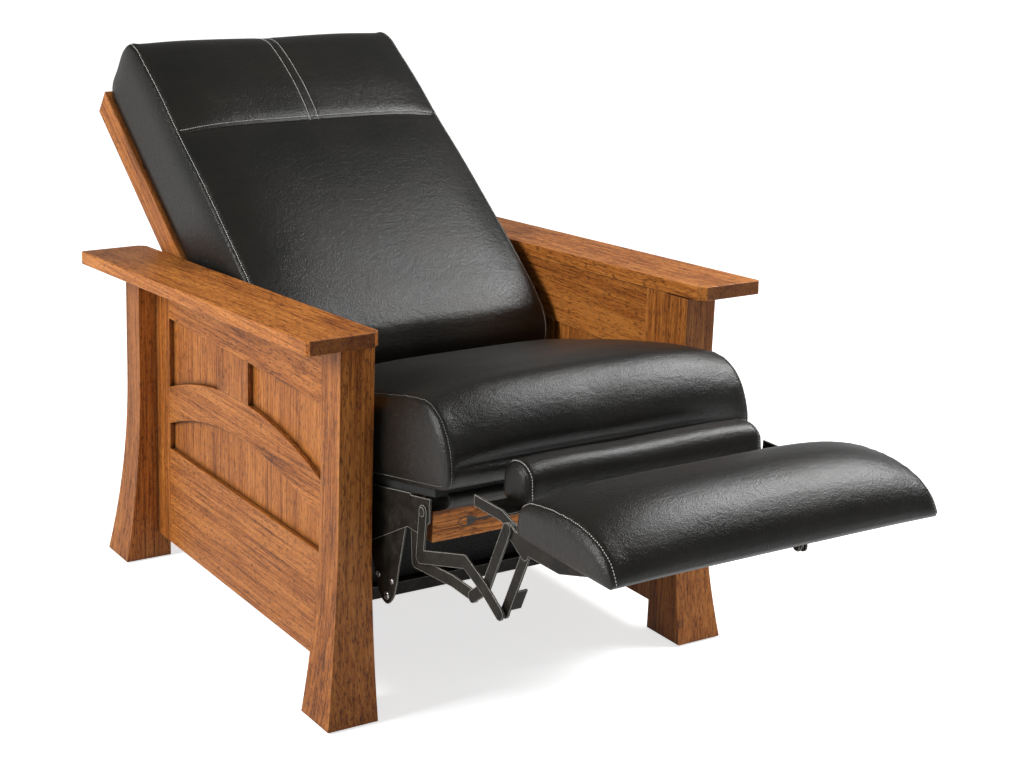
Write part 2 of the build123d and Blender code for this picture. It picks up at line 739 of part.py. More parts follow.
def stud(face, outward, layers, place, head_r):
    """A rivet that stands out from a plate's face, through the next layers."""
    reach = len(layers) * (PLATE_T + LAYER_CLEAR) + LAYER_CLEAR
    tip = face + outward * reach
    end = tip + outward * STUD_HEAD_T
    shank = pin(min(face, tip), max(face, tip), place, STUD_R)
    head = pin(min(tip, end), max(tip, end), place, head_r)
    return shank + head


def seat_glides():
    x0 = layer(1) + PLATE_T + GLIDE_SIDE_SET
    glides = []
    for y0 in (FRONT_Y + RUNNER_SET + GLIDE_FRONT_SET, REAR_GLIDE_Y):
        low = GLIDE_T / cos(radians(SLIDE_PITCH))
        glides.append(sheet_under(
            x0, x0 + GLIDE_W, y0, y0 + GLIDE_L, lambda y: runner_z(y) - low, SLIDE_PITCH, GLIDE_T,
        ))
    return glides


# Footrest linkage
def bored(shape, index, place, radius=STUD_R):
    """Cut a running hole through the plate of one layer."""
    x0 = layer(index)
    return shape - pin(x0, x0 + PLATE_T, place, radius + STUD_CLEAR)


def front_link():
    x0 = layer(0)
    bar = strap(
        x0, x0 + PLATE_T, FRONT_LINK_W,
        PIVOT_F, moved(PIVOT_F, FRONT_KNEE), moved(PIVOT_F, FRONT_ELBOW), PIVOT_P, PIVOT_E,
    )
    bar = bored(bar, 0, PIVOT_F)
    bar += stud(x0, -1, (1,), PIVOT_P, STUD_HEAD_R)
    return bar + stud(x0, -1, (1, 2, 3), PIVOT_E, STUD_HEAD_R)


def rear_link():
    x0 = layer(2)
    bar = strap(
        x0, x0 + PLATE_T, REAR_LINK_W,
        PIVOT_R, moved(PIVOT_R, REAR_KNEE), moved(PIVOT_R, REAR_ELBOW), PIVOT_P2,
    )
    return bored(bored(bar, 2, PIVOT_R), 2, PIVOT_P2)


def outer_link():
    x0 = layer(1)
    bar = strap(x0, x0 + PLATE_T, OUTER_LINK_W, PIVOT_P2, PIVOT_P, PIVOT_Q)
    bar = bored(bar, 1, PIVOT_P)
    bar += stud(x0, -1, (2,), PIVOT_P2, SMALL_HEAD_R)
    collar_x = layer(3)
    bar += pin(collar_x, collar_x + PLATE_T, PIVOT_Q, STUD_HEAD_R)
    return bar + stud(x0, -1, (2, 3, 4), PIVOT_Q, STUD_HEAD_R)


def along(start, end, run, off):
    """A point run along the line and off to its left."""
    length = sqrt((end[0] - start[0]) ** 2 + (end[1] - start[1]) ** 2)
    dy = (end[0] - start[0]) / length
    dz = (end[1] - start[1]) / length
    return (start[0] + run * dy - off * dz, start[1] + run * dz + off * dy)


def inner_link():
    x0 = layer(3)
    bar = strap(x0, x0 + PLATE_T, INNER_LINK_W, PIVOT_E, PIVOT_Q2)
    edge = INNER_LINK_W / 2
    low = along(PIVOT_E, PIVOT_Q2, LIP_START, edge)
    high = along(PIVOT_E, PIVOT_Q2, LIP_END, edge)
    high_in = along(PIVOT_E, PIVOT_Q2, LIP_END, edge - PLATE_T)
    low_in = along(PIVOT_E, PIVOT_Q2, LIP_START, edge - PLATE_T)
    lip = slab_x(x0 - LIP_W, x0 + PLATE_T, low, high, high_in, low_in)
    return bored(bored(bar + lip, 3, PIVOT_E), 3, PIVOT_Q2)


def footrest_bracket():
    x0 = layer(2)
    x1 = x0 + PLATE_T
    under = PAD_BOTTOM_Z - SHEET
    front = PAD_REAR_Y - BRACKET_LENGTH
    bar = strap(x0, x1, OUTER_LINK_W, PIVOT_Q, PIVOT_Q2)
    bar += slab_x(
        x0, x1,
        (PAD_REAR_Y, PAD_BOTTOM_Z), (front, PAD_BOTTOM_Z), (front, under),
        (PIVOT_Q2[0] - BRACKET_LENGTH / 2, PAD_BOTTOM_Z - BRACKET_DROP), PIVOT_Q2, PIVOT_Q,
    )
    bar += box(x1 - BRACKET_FLANGE_W, x1, front, PAD_REAR_Y, under, PAD_BOTTOM_Z)
    bar = bored(bar, 2, PIVOT_Q)
    inner = layer(3)
    return bar + pin(inner, x0, PIVOT_Q2, STUD_R)


def mid_bracket():
    x0 = layer(4)
    x1 = x0 + PLATE_T
    low = MID_BOTTOM_Z - SHEET
    front = PIVOT_Q[0] + MID_PLATE_RUN
    rear = PIVOT_Q[0] + MID_PLATE_LENGTH
    plate = strap(x0, x1, MID_PLATE_H, PIVOT_Q, (front, low + MID_PLATE_H / 2))
    plate += box(x0, x1, front, rear, low, low + MID_PLATE_H)
    plate += box(x1 - MID_FLANGE_W, x1, MID_Y0, rear, low, MID_BOTTOM_Z)
    return bored(plate, 4, PIVOT_Q)


def pad_section(x, fullness):
    """Footrest pad cut across X: upright rear edge, crowned top, round nose."""
    low = PAD_BOTTOM_Z + SOFT_CLEAR
    rear_z = low + PAD_REAR_H
    top = low + PAD_SIDE_H + PAD_CROWN * fullness
    middle = (PAD_REAR_Y + PAD_FRONT_Y) / 2
    shoulder = PAD_FRONT_Y + PAD_DEPTH / 8
    return wire_yz(
        x, (PAD_REAR_Y, low),
        ((PAD_REAR_Y + PAD_FRONT_PUFF / 2, (low + rear_z) / 2), (PAD_REAR_Y, rear_z)),
        ((middle, top), (shoulder, low + PAD_FRONT_H)),
        ((PAD_FRONT_Y - PAD_FRONT_PUFF * fullness, low + PAD_FRONT_H / 2), (PAD_FRONT_Y, low)),
    )


def footrest_pad():
    pad = cushion_loft(pad_section, PAD_HALF_W)
    low = PAD_BOTTOM_Z - CUT_OVERRUN
    inset = BOARD_INSET - SOFT_CLEAR
    return pad - box(
        inset - PAD_HALF_W, PAD_HALF_W - inset, PAD_FRONT_Y + inset, PAD_REAR_Y - inset,
        low, PAD_BOTTOM_Z + BOARD_T + SOFT_CLEAR,
    )


def footrest_board():
    return box(
        BOARD_INSET - PAD_HALF_W, PAD_HALF_W - BOARD_INSET, PAD_FRONT_Y + BOARD_INSET,
        PAD_REAR_Y - BOARD_INSET, PAD_BOTTOM_Z, PAD_BOTTOM_Z + BOARD_T,
    )


def mid_section(x, fullness):
    """The small pad cut across X, a rounded bar on a flat base."""
    low = MID_BOTTOM_Z + SOFT_CLEAR
    top = low + MID_SIDE_H + MID_CROWN * fullness
    side = low + MID_SIDE_H / 2
    middle = (MID_Y0 + MID_Y1) / 2
    return wire_yz(
        x, (MID_Y1, low), (MID_Y1, side), ((middle, top), (MID_Y0, side)), (MID_Y0, low),
    )


def mid_pad():
    pad = cushion_loft(mid_section, MID_HALF_W)
    low = MID_BOTTOM_Z - CUT_OVERRUN
    inset = MID_BOARD_INSET - SOFT_CLEAR
    return pad - box(
        inset - MID_HALF_W, MID_HALF_W - inset, MID_Y0 + inset, MID_Y1 - inset,
        low, MID_BOTTOM_Z + MID_BOARD_T + SOFT_CLEAR,
    )


def mid_board():
    return box(
        MID_BOARD_INSET - MID_HALF_W, MID_HALF_W - MID_BOARD_INSET, MID_Y0 + MID_BOARD_INSET,
        MID_Y1 - MID_BOARD_INSET, MID_BOTTOM_Z, MID_BOTTOM_Z + MID_BOARD_T,
    )


# Back
def back_place(u, n):
    """Y and Z of a point u up the back's slope and n in front of its pivot."""
    slope = radians(BACK_SLOPE)
    return (BACK_Y + u * cos(slope) - n * sin(slope), BACK_Z + u * sin(slope) + n * cos(slope))


def back_slab(x0, x1, u0, u1, n0, n1):
    return slab_x(
        x0, x1, back_place(u0, n0), back_place(u1, n0), back_place(u1, n1), back_place(u0, n1),
    )


def back_stile():
    return back_slab(
        BACK_HALF_W - BACK_STILE_T, BACK_HALF_W, BACK_START, BACK_END, -BACK_PIVOT_SET, BACK_FACE,
    )


def back_rail(start, end):
    half = BACK_HALF_W - BACK_STILE_T
    return back_slab(-half, half, start, end, BACK_FACE - BACK_RAIL_T, BACK_FACE)


def back_panel():
    half = BACK_HALF_W - BACK_STILE_T
    face = BACK_FACE - BACK_PANEL_RECESS
    return back_slab(
        -half, half, BACK_BOTTOM_RAIL_START + BACK_BOTTOM_RAIL_H, BACK_END - BACK_TOP_RAIL_H,
        face - BACK_PANEL_T, face,
    )


def back_bracket():
    x1 = BACK_HALF_W - BACK_STILE_T
    x0 = x1 - PLATE_T
    start = back_place(0, 0)
    rise = BACK_BRACKET_W / 2 - BACK_PIVOT_SET
    foot = back_place(BACK_START, rise)
    end = back_place(BACK_BRACKET_LENGTH - BACK_BRACKET_W / 2, rise)
    bar = strap(x0, x1, BACK_BRACKET_W, start, foot, end)
    return bar - pin(x0, x1, start, BACK_PIN_R + STUD_CLEAR)


def back_section(x, fullness):
    """Back cushion cut across X: two swelling fields with a sewn channel.

    The upper field also dips along the stitching down its middle.
    """
    face = BACK_FACE + SOFT_CLEAR
    full = face + BACK_CUSHION_T
    crown = BACK_CROWN * fullness
    seam_u = BACK_END - BACK_SEAM_SET
    top_corner = (BACK_END - BACK_TOP_ROUND, full - BACK_PUFF)
    low_corner = (BACK_CUSHION_START + BACK_BOTTOM_ROUND, full)
    seam = (seam_u, full + crown - BACK_SEAM_DEPTH)
    tuft = BACK_TUFT_DEPTH / (1 + (x / BACK_TUFT_W) ** 2)
    upper = ((top_corner[0] + seam_u) / 2, full + crown + BACK_PUFF / 2 - tuft)
    lower = ((low_corner[0] + seam_u) / 2, full + crown + BACK_PUFF / 2)
    puff = BACK_PUFF * (1 + fullness) / 2
    start = BACK_CUSHION_START + BACK_PUFF
    steps = (
        (BACK_END - BACK_PUFF, face),
        ((BACK_END - BACK_PUFF + puff, face + BACK_CUSHION_T / 2), top_corner),
        (upper, seam),
        (lower, low_corner),
        ((start - puff, face + BACK_CUSHION_T / 2), (start, face)),
    )
    placed = []
    for step in steps:
        if isinstance(step[0], tuple):
            placed.append((back_place(*step[0]), back_place(*step[1])))
        else:
            placed.append(back_place(*step))
    return wire_yz(x, back_place(start, face), *placed)


def build():
    os.makedirs("parts", exist_ok=True)
    node_pair("arm_board", arm_board())
    node_pair("leg_front", leg(LEG_FRONT_Y0, LEG_FRONT_Y1, -1))
    node_pair("leg_rear", leg(LEG_REAR_Y0, LEG_REAR_Y1, 1))
    node_pair("side_stile_front", side_stile(LEG_FRONT_Y1, OPEN_Y0))
    node_pair("side_stile_rear", side_stile(OPEN_Y1, LEG_REAR_Y0))
    node_pair("side_top_rail", side_top_rail())
    node_pair("side_bottom_rail", side_bottom_rail())
    node_pair("side_arch_rail", side_arch_rail())
    node_pair("side_mullion", over_arch(SIDE_IN_X, SIDE_OUT_X, MULLION_Y0, MULLION_Y1))
    node_pair("side_panels", Compound(children=list(side_panels())))
    node("rear_rail", rear_rail())
    node("floor_glides", both_sides(floor_glides()))
    node_pair("base_rail", base_rail())
    node("cross_angle_front", cross_angle(DROP_STARTS[0]))
    node("cross_angle_rear", cross_angle(DROP_STARTS[1]))
    node("base_screws", both_sides(base_screws()))
    node("seat_cushion", cushion_loft(seat_section, SEAT_HALF_W))
    node("seat_deck", seat_deck())
    node_pair("deck_rail", deck_rail())
    node("front_oak_rail", oak_rail())
    node("rail_inlays", both_sides([inlay_shape(OAK_RAIL_Y0, OAK_RAIL_Y0 + INLAY_T - INLAY_FIT, 0)]))
    node_pair("seat_plate", seat_plate())
    node("seat_glides", both_sides(seat_glides()))
    node_pair("front_link", front_link())
    node_pair("rear_link", rear_link())
    node_pair("outer_link", outer_link())
    node_pair("inner_link", inner_link())
    node_pair("footrest_bracket", footrest_bracket())
    node("footrest_board", footrest_board())
    node("footrest_pad", footrest_pad())
    node_pair("mid_bracket", mid_bracket())
    node("mid_board", mid_board())
    node("mid_pad", mid_pad())
    node_pair("back_stile", back_stile())
    node("back_top_rail", back_rail(BACK_END - BACK_TOP_RAIL_H, BACK_END))
    node("back_bottom_rail", back_rail(BACK_BOTTOM_RAIL_START, BACK_BOTTOM_RAIL_START + BACK_BOTTOM_RAIL_H))
    node("back_panel", back_panel())
    node_pair("back_bracket", back_bracket())
    node("back_cushion", cushion_loft(back_section, BACK_CUSHION_HALF_W))


build()
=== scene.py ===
"""A mission reclining armchair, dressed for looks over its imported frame.

Lengths here are millimetres in the chair's own frame: X across, Y back from
the front, Z up from the floor. They become metres when a mesh is made.
"""

import logging
import math
from collections.abc import Iterable
from dataclasses import dataclass, field
from enum import Enum

import bmesh
import bpy
import numpy as np
from mathutils import Matrix, Vector

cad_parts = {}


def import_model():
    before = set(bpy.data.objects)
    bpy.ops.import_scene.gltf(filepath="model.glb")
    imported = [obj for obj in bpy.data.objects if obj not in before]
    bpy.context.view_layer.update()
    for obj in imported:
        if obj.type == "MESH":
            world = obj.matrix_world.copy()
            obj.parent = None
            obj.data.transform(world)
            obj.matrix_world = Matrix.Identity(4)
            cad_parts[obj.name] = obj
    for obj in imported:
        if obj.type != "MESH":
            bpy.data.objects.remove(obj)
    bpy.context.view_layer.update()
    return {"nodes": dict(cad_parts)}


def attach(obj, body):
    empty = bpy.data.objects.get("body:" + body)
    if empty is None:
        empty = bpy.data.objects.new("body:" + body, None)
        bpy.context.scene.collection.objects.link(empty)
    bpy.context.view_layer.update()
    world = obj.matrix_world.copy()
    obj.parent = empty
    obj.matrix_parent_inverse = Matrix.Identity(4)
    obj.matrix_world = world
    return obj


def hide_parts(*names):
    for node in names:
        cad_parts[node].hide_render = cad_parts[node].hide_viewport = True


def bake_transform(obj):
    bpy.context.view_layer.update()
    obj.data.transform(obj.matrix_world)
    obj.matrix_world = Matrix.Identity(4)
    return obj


MM = 0.001
SEAT_PITCH = 11.0
BACK_TILT = 36.5
LOOP_STEPS = 24
LINE_SAMPLES = 4001
SEWN_SAMPLES = 1200
EDGE_GAIN = 6.0
SIDES = (("left", -1.0), ("right", 1.0))
log = logging.getLogger("armchair")


class Grain(Enum):
    """The way a board's grain runs, as the turn that lays it along the pattern's X."""

    ACROSS = (0.0, 0.0, 0.0)
    ALONG = (0.0, 0.0, -90.0)
    UPRIGHT = (0.0, 90.0, 0.0)
    BACK_SLOPE = (-BACK_TILT, 0.0, -90.0)


class Slot(Enum):
    """Names of the record's material slots; the seat lugs' loop pairs them with its pieces but gives them
    to none.
    """

    LEATHER = "leather"
    STEEL = "painted_steel"
    BRIGHT = "screw_steel"


def ease(values: np.ndarray) -> np.ndarray:
    """Smooth step of values held between zero and one."""
    held = np.clip(values, 0.0, 1.0)
    return held * held * (3.0 - 2.0 * held)


def hump(values: np.ndarray, middle: float, width: float) -> np.ndarray:
    """Bell curve of height one about a middle."""
    return np.exp(-(((values - middle) / width) ** 2))


def graded(start: float, end: float, coarse: float, fine: float, marks: Iterable[float],
           reach: float) -> np.ndarray:
    """Steps along a line that close up near its marks.

    The density of steps is one over the coarse step, plus a bell of one over
    the fine step at each mark; its running sum is cut into equal shares.

    Args:
        start: Where the line starts.
        end: Where it ends.
        coarse: Step far from every mark.
        fine: Step at a mark.
        marks: Places that need close steps.
        reach: How far from a mark the steps stay close.

    Returns:
        The places of the steps, both ends among them.
    """
    line = np.linspace(start, end, LINE_SAMPLES)
    density = np.full_like(line, 1.0 / coarse)
    for mark in marks:
        density += hump(line, mark, reach) / fine
    total = np.concatenate([[0.0], np.cumsum((density[1:] + density[:-1]) / 2 * np.diff(line))])
    return np.interp(np.linspace(0.0, total[-1], max(int(round(total[-1])), 4) + 1), total, line)


def arc_length(points: np.ndarray) -> np.ndarray:
    """Length along a row of points up to each of them."""
    return np.concatenate([[0.0], np.cumsum(np.linalg.norm(np.diff(points, axis=0), axis=1))])


def places_along(at: np.ndarray, arc: np.ndarray, points: np.ndarray) -> np.ndarray:
    """Points of a path at some lengths along it."""
    return np.stack([np.interp(at, arc, points[:, k]) for k in range(3)], axis=1)


def ridges(places: np.ndarray, rows: Iterable[tuple]) -> np.ndarray:
    """Sum of bell curves, from rows of a height, a middle and a width."""
    return sum(height * hump(places, middle, width) for height, middle, width in rows)


def smooth_loop(knots: np.ndarray, sharp: np.ndarray, steps: int = LOOP_STEPS) -> np.ndarray:
    """Closed curve through knots, in cubic pieces.

    Each tangent is the mean of the two neighbouring slopes, weighted by the
    other side's chord. At a sharp knot each side keeps its own slope.

    Args:
        knots: One row a knot, any number of columns; the first two are the plane.
        sharp: True where the curve has a corner.
        steps: Points in each piece.

    Returns:
        Points in order round the curve, without the repeated last one.
    """
    after = np.roll(knots, -1, axis=0)
    chord = np.linalg.norm((after - knots)[:, :2], axis=1)[:, None]
    slope = (after - knots) / chord
    before, chord_before = np.roll(slope, 1, axis=0), np.roll(chord, 1, axis=0)
    shared = (chord * before + chord_before * slope) / (chord + chord_before)
    leave = np.where(sharp[:, None], slope, shared)
    arrive = np.roll(np.where(sharp[:, None], before, shared), -1, axis=0)
    t = (np.arange(steps) / steps)[None, :, None]
    p0, p1 = knots[:, None, :], after[:, None, :]
    m0, m1 = (leave * chord)[:, None, :], (arrive * chord)[:, None, :]
    curve = ((2 * t ** 3 - 3 * t ** 2 + 1) * p0 + (t ** 3 - 2 * t ** 2 + t) * m0
             + (3 * t ** 2 - 2 * t ** 3) * p1 + (t ** 3 - t ** 2) * m1)
    return curve.reshape(-1, knots.shape[1])


def mesh_piece(name: str, points: np.ndarray, faces: list, smooth: bool = True) -> bpy.types.Object:
    """Object at the origin from millimetre points.

    Args:
        name: The piece's name.
        points: One row a point.
        faces: Lists of point numbers, outward side anticlockwise.
        smooth: Whether the faces shade as one surface.

    Returns:
        The object, linked to the scene.
    """
    mesh = bpy.data.meshes.new(name)
    mesh.from_pydata((points * MM).tolist(), [], faces)
    mesh.polygons.foreach_set("use_smooth", np.full(len(mesh.polygons), smooth))
    mesh.update()
    piece = bpy.data.objects.new(name, mesh)
    bpy.context.scene.collection.objects.link(piece)
    return piece


def tube_faces(rows: int, columns: int, capped: bool = True) -> list:
    """Quads of a grid whose columns close on themselves, with its end rows capped.

    Args:
        rows: Number of rings.
        columns: Points in each ring.
        capped: Whether one face closes each end ring.

    Returns:
        Faces as lists of point numbers.
    """
    i, j = np.meshgrid(np.arange(rows - 1), np.arange(columns), indexing="ij")
    k = (j + 1) % columns
    quads = np.stack([i * columns + j, i * columns + k, (i + 1) * columns + k,
                      (i + 1) * columns + j], axis=-1).reshape(-1, 4).tolist()
    if not capped:
        return quads
    last = (rows - 1) * columns
    return quads + [list(range(columns))[::-1], list(range(last, last + columns))]


class Tree:
    """A node tree with short calls for its nodes."""

    def __init__(self, tree: bpy.types.NodeTree) -> None:
        """Hold the tree that the calls add to."""
        self.tree = tree

    def node(self, kind: str, inputs: dict, **settings: object) -> bpy.types.Node:
        """Add a node.

        Args:
            kind: Node type without its ShaderNode start.
            inputs: Values or sockets by input name or number.
            **settings: Properties of the node.

        Returns:
            The node.
        """
        made = self.tree.nodes.new("ShaderNode" + kind)
        for key, value in settings.items():
            setattr(made, key, value)
        for key, value in inputs.items():
            self.feed(made.inputs[key], value)
        return made

    def feed(self, socket: bpy.types.NodeSocket, value: object) -> None:
        """Link a socket's source, or set its value.

        Args:
            socket: The input.
            value: Another node's output, or a plain value.
        """
        if isinstance(value, bpy.types.NodeSocket):
            self.tree.links.new(value, socket)
        else:
            socket.default_value = value

    def sum(self, kind: str, *values: object) -> bpy.types.NodeSocket:
        """A Math node's result, held between zero and one where the kind ends in a bar."""
        return self.node("Math", dict(enumerate(values)), operation=kind.rstrip("|"),
                         use_clamp=kind.endswith("|")).outputs[0]

    def span(self, value: bpy.types.NodeSocket, low: float, high: float, first: float,
             last: float) -> bpy.types.NodeSocket:
        """A value's stretch from low to high, laid over first to last and held there."""
        return self.node("MapRange", {"Value": value, "From Min": low, "From Max": high,
                                      "To Min": first, "To Max": last}).outputs[0]

    def seen(self, mirrored: object) -> bpy.types.NodeSocket:
        """One where the camera sees a place or glass shows it, plus the share mirrored.

        Args:
            mirrored: Share that a glossy ray sees.

        Returns:
            The held sum.
        """
        path = self.node("LightPath", {}).outputs
        share = self.sum("MULTIPLY", path["Is Glossy Ray"], mirrored)
        plain = self.sum("ADD|", path["Is Camera Ray"], path["Is Transmission Ray"])
        return self.sum("ADD|", plain, share)


class Wiring(Tree):
    """One procedural material being wired: its tree and its shader."""

    def __init__(self, name: str) -> None:
        """Start an empty tree with a Principled shader on the output.

        Args:
            name: The material's name.
        """
        self.material = bpy.data.materials.new(name)
        self.material.use_nodes = True
        super().__init__(self.material.node_tree)
        self.tree.nodes.clear()
        self.shader = self.tree.nodes.new("ShaderNodeBsdfPrincipled")
        output = self.tree.nodes.new("ShaderNodeOutputMaterial")
        self.tree.links.new(self.shader.outputs[0], output.inputs[0])

    def dress(self, **inputs: object) -> bpy.types.Material:
        """Feed the shader's inputs.

        Args:
            **inputs: Values or sockets by input name, with underscores for spaces.

        Returns:
            The material.
        """
        for key, value in inputs.items():
            self.feed(self.shader.inputs[key.replace("_", " ")], value)
        return self.material

    def place(self, turn: tuple = (0, 0, 0), size: tuple = (1, 1, 1),
              shift: tuple = (0, 0, 0)) -> bpy.types.NodeSocket:
        """Object coordinates, turned first and then stretched.

        Args:
            turn: Degrees about X, Y and Z.
            size: Scale along each axis after the turn.
            shift: Offset after both, in pattern units.

        Returns:
            The coordinate socket.
        """
        where = self.node("TexCoord", {}).outputs["Object"]
        turned = self.node("Mapping", {"Vector": where, "Rotation": [math.radians(a) for a in turn]})
        return self.node("Mapping", {"Vector": turned.outputs[0], "Scale": size,
                                     "Location": shift}).outputs[0]

    def noise(self, where: bpy.types.NodeSocket, scale: float, detail: float = 2.0,
              rough: float = 0.5, bend: float = 0.0) -> bpy.types.NodeSocket:
        """Cloudy noise.

        Args:
            where: Coordinates.
            scale: Cells a unit.
            detail: Octaves.
            rough: Strength of the finer octaves.
            bend: Distortion.

        Returns:
            The noise's value socket.
        """
        return self.node("TexNoise", {"Vector": where, "Scale": scale, "Detail": detail,
                                      "Roughness": rough, "Distortion": bend}).outputs[0]

    def ramp(self, value: bpy.types.NodeSocket, *stops: tuple) -> bpy.types.NodeSocket:
        """Colour by value.

        Args:
            value: The value.
            *stops: Pairs of a place and a colour or a grey number.

        Returns:
            The colour socket.
        """
        made = self.node("ValToRGB", {"Fac": value})
        band = made.color_ramp.elements
        while len(band) < len(stops):
            band.new(0.5)
        for element, (spot, colour) in zip(band, stops):
            element.position = spot
            tone = colour if isinstance(colour, tuple) else (colour,) * 3
            element.color = (*tone, 1.0)
        return made.outputs[0]

    def mix(self, share: object, first: object, second: object, kind: str = "MIX"
            ) -> bpy.types.NodeSocket:
        """Two colours mixed.

        Args:
            share: Share of the second.
            first: Colour or socket.
            second: Colour or socket.
            kind: Blend name.

        Returns:
            The colour socket.
        """
        made = self.node("Mix", {0: share}, data_type="RGBA", blend_type=kind)
        for place, value in ((6, first), (7, second)):
            self.feed(made.inputs[place], (*value, 1.0) if isinstance(value, tuple) else value)
        return made.outputs[2]

    def bump(self, height: bpy.types.NodeSocket, depth: float, normal: object = None
             ) -> bpy.types.NodeSocket:
        """Normal of a raised surface.

        Args:
            height: Height field.
            depth: Metres that a full step of it stands for.
            normal: Normal that it is laid over.

        Returns:
            The normal socket.
        """
        inputs = {"Height": height, "Distance": depth}
        if normal is not None:
            inputs["Normal"] = normal
        return self.node("Bump", inputs).outputs[0]

    def rounded(self, radius: float) -> tuple:
        """Eased edges of a hard piece.

        Args:
            radius: Radius of the easing, metres.

        Returns:
            The eased normal, and a mask that is one along the edges.
        """
        eased = self.node("Bevel", {"Radius": radius}, samples=6).outputs[0]
        true = self.node("NewGeometry", {}).outputs["True Normal"]
        facing = self.node("VectorMath", {0: eased, 1: true}, operation="DOT_PRODUCT").outputs[1]
        lack = self.sum("SUBTRACT", 1.0, facing)
        return eased, self.sum("MULTIPLY|", lack, EDGE_GAIN)


@dataclass(frozen=True)
class OakFinish:
    """Quarter-sawn oak, stained warm brown under a satin lacquer."""

    grain: Grain
    seed: int
    light: tuple = (0.50, 0.182, 0.036)
    middle: tuple = (0.30, 0.088, 0.0135)
    dark: tuple = (0.070, 0.0175, 0.004)
    # Painted shade colour, laid into corners and recesses.
    recess_shade: tuple = (0.016, 0.006, 0.003)
    # Pale edge colour: partly painted highlight on every eased edge, partly stain worn through.
    worn_and_glint: tuple = (0.56, 0.24, 0.07)
    recess_shade_reach: float = 0.016
    edge_radius: float = 0.0018
    pore_depth: float = 0.00022
    fleck: float = 0.75
    tone: float = 1.0

    def shade(self, colour: tuple) -> tuple:
        """A colour made lighter or darker by the board's tone: painted light, set to how brightly the
        board is lit.
        """
        return tuple(min(part * self.tone, 1.0) for part in colour)

    def material(self) -> bpy.types.Material:
        """Grain stripes, open pores, ray flecks across the grain, painted shade in corners and recesses,
        and pale edges that are partly painted highlight, partly worn stain.

        Returns:
            The material.
        """
        w = Wiring(f"oak_{self.grain.name.lower()}_{self.seed}")
        shift = (self.seed * 0.73, self.seed * 0.41, self.seed * 0.57)
        turn = self.grain.value
        broad = w.noise(w.place(turn, (1.6, 11.0, 11.0), shift), 1.0, 3.0, 0.55, 0.6)
        lines = w.noise(w.place(turn, (3.4, 130.0, 130.0), shift), 1.0, 4.0, 0.7, 0.3)
        pores = w.noise(w.place(turn, (75.0, 420.0, 420.0), shift), 1.0, 2.0, 0.6)
        rays = w.noise(w.place(turn, (22.0, 75.0, 75.0), shift), 1.0, 3.0, 0.6, 2.4)
        hair = w.noise(w.place(turn, (9.0, 330.0, 330.0), shift), 1.0, 2.0, 0.7, 0.2)
        tone = w.sum("ADD", w.sum("MULTIPLY", broad, 0.24), w.sum("MULTIPLY", lines, 0.40))
        tone = w.sum("ADD", tone, w.sum("MULTIPLY", hair, 0.36))
        colour = w.ramp(tone, (0.39, self.shade(self.dark)),
                        (0.475, self.shade(self.middle)), (0.575, self.shade(self.light)))
        band = w.ramp(rays, (0.47, 0.0), (0.5, 1.0), (0.545, 0.0))
        ray = w.sum("ADD|", band, w.ramp(rays, (0.6, 0.0), (0.68, 0.8)))
        ray = w.sum("MULTIPLY", ray, self.fleck)
        colour = w.mix(w.sum("MULTIPLY", ray, 0.6), colour, self.light)
        pore = w.sum("MULTIPLY", w.ramp(pores, (0.38, 1.0), (0.47, 0.0)),
                     w.ramp(rays, (0.5, 1.0), (0.62, 0.3)))
        colour = w.mix(w.sum("MULTIPLY", pore, 0.72), colour, self.dark)
        cut = w.node("VectorMath", {0: w.node("TexCoord", {}).outputs["Normal"], 1: self.axis()},
                     operation="DOT_PRODUCT").outputs[1]
        end = w.ramp(w.sum("ABSOLUTE", cut), (0.75, 0.0), (0.95, 1.0))
        colour = w.mix(w.sum("MULTIPLY", end, 0.6), colour, self.dark)
        # Painted shade: the colour darkens to near-black brown where ambient occlusion finds surfaces
        # close by, in corners and recesses.
        corner = w.node("AmbientOcclusion", {"Distance": self.recess_shade_reach}, samples=6).outputs["AO"]
        colour = w.mix(w.ramp(corner, (0.35, 0.92), (0.85, 0.0)), colour, self.recess_shade)
        # Paler along every edge: partly painted highlight on the eased edge, partly stain worn through.
        eased, edge = w.rounded(self.edge_radius)
        colour = w.mix(w.sum("MULTIPLY", edge, 0.45), colour, self.worn_and_glint)
        rough = w.ramp(tone, (0.3, 0.5), (0.7, 0.36))
        height = w.sum("SUBTRACT", w.sum("MULTIPLY", lines, 0.5), pore)
        return w.dress(Base_Color=colour, Roughness=rough, Specular_IOR_Level=0.26,
                       Normal=w.bump(height, self.pore_depth, eased))

    def axis(self) -> list:
        """Turn the pattern's X back into the board's place.

        Returns:
            Unit vector along the grain.
        """
        about_x, about_y, about_z = (Matrix.Rotation(math.radians(angle), 3, line)
                                     for angle, line in zip(self.grain.value, "XYZ"))
        return list((about_z @ about_y @ about_x).transposed() @ Vector((1.0, 0.0, 0.0)))


@dataclass(frozen=True)
class PlainWoodFinish:
    """Unfinished plywood and board inside the seat."""

    name: str = "inner_wood"
    light: tuple = (0.36, 0.25, 0.14)
    dark: tuple = (0.22, 0.14, 0.075)

    def material(self) -> bpy.types.Material:
        """Soft stripes along X under fine fibres.

        Returns:
            The material.
        """
        w = Wiring(self.name)
        stripes = w.noise(w.place(size=(2.0, 40.0, 60.0)), 1.0, 3.0, 0.6, 0.6)
        fibres = w.noise(w.place(size=(30.0, 500.0, 500.0)), 1.0, 2.0)
        colour = w.mix(0.4, w.ramp(stripes, (0.35, self.dark), (0.65, self.light)),
                       w.ramp(fibres, (0.3, self.dark), (0.7, self.light)))
        return w.dress(Base_Color=colour, Roughness=w.ramp(fibres, (0.0, 0.8), (1.0, 0.6)),
                       Normal=w.bump(fibres, 0.0002))


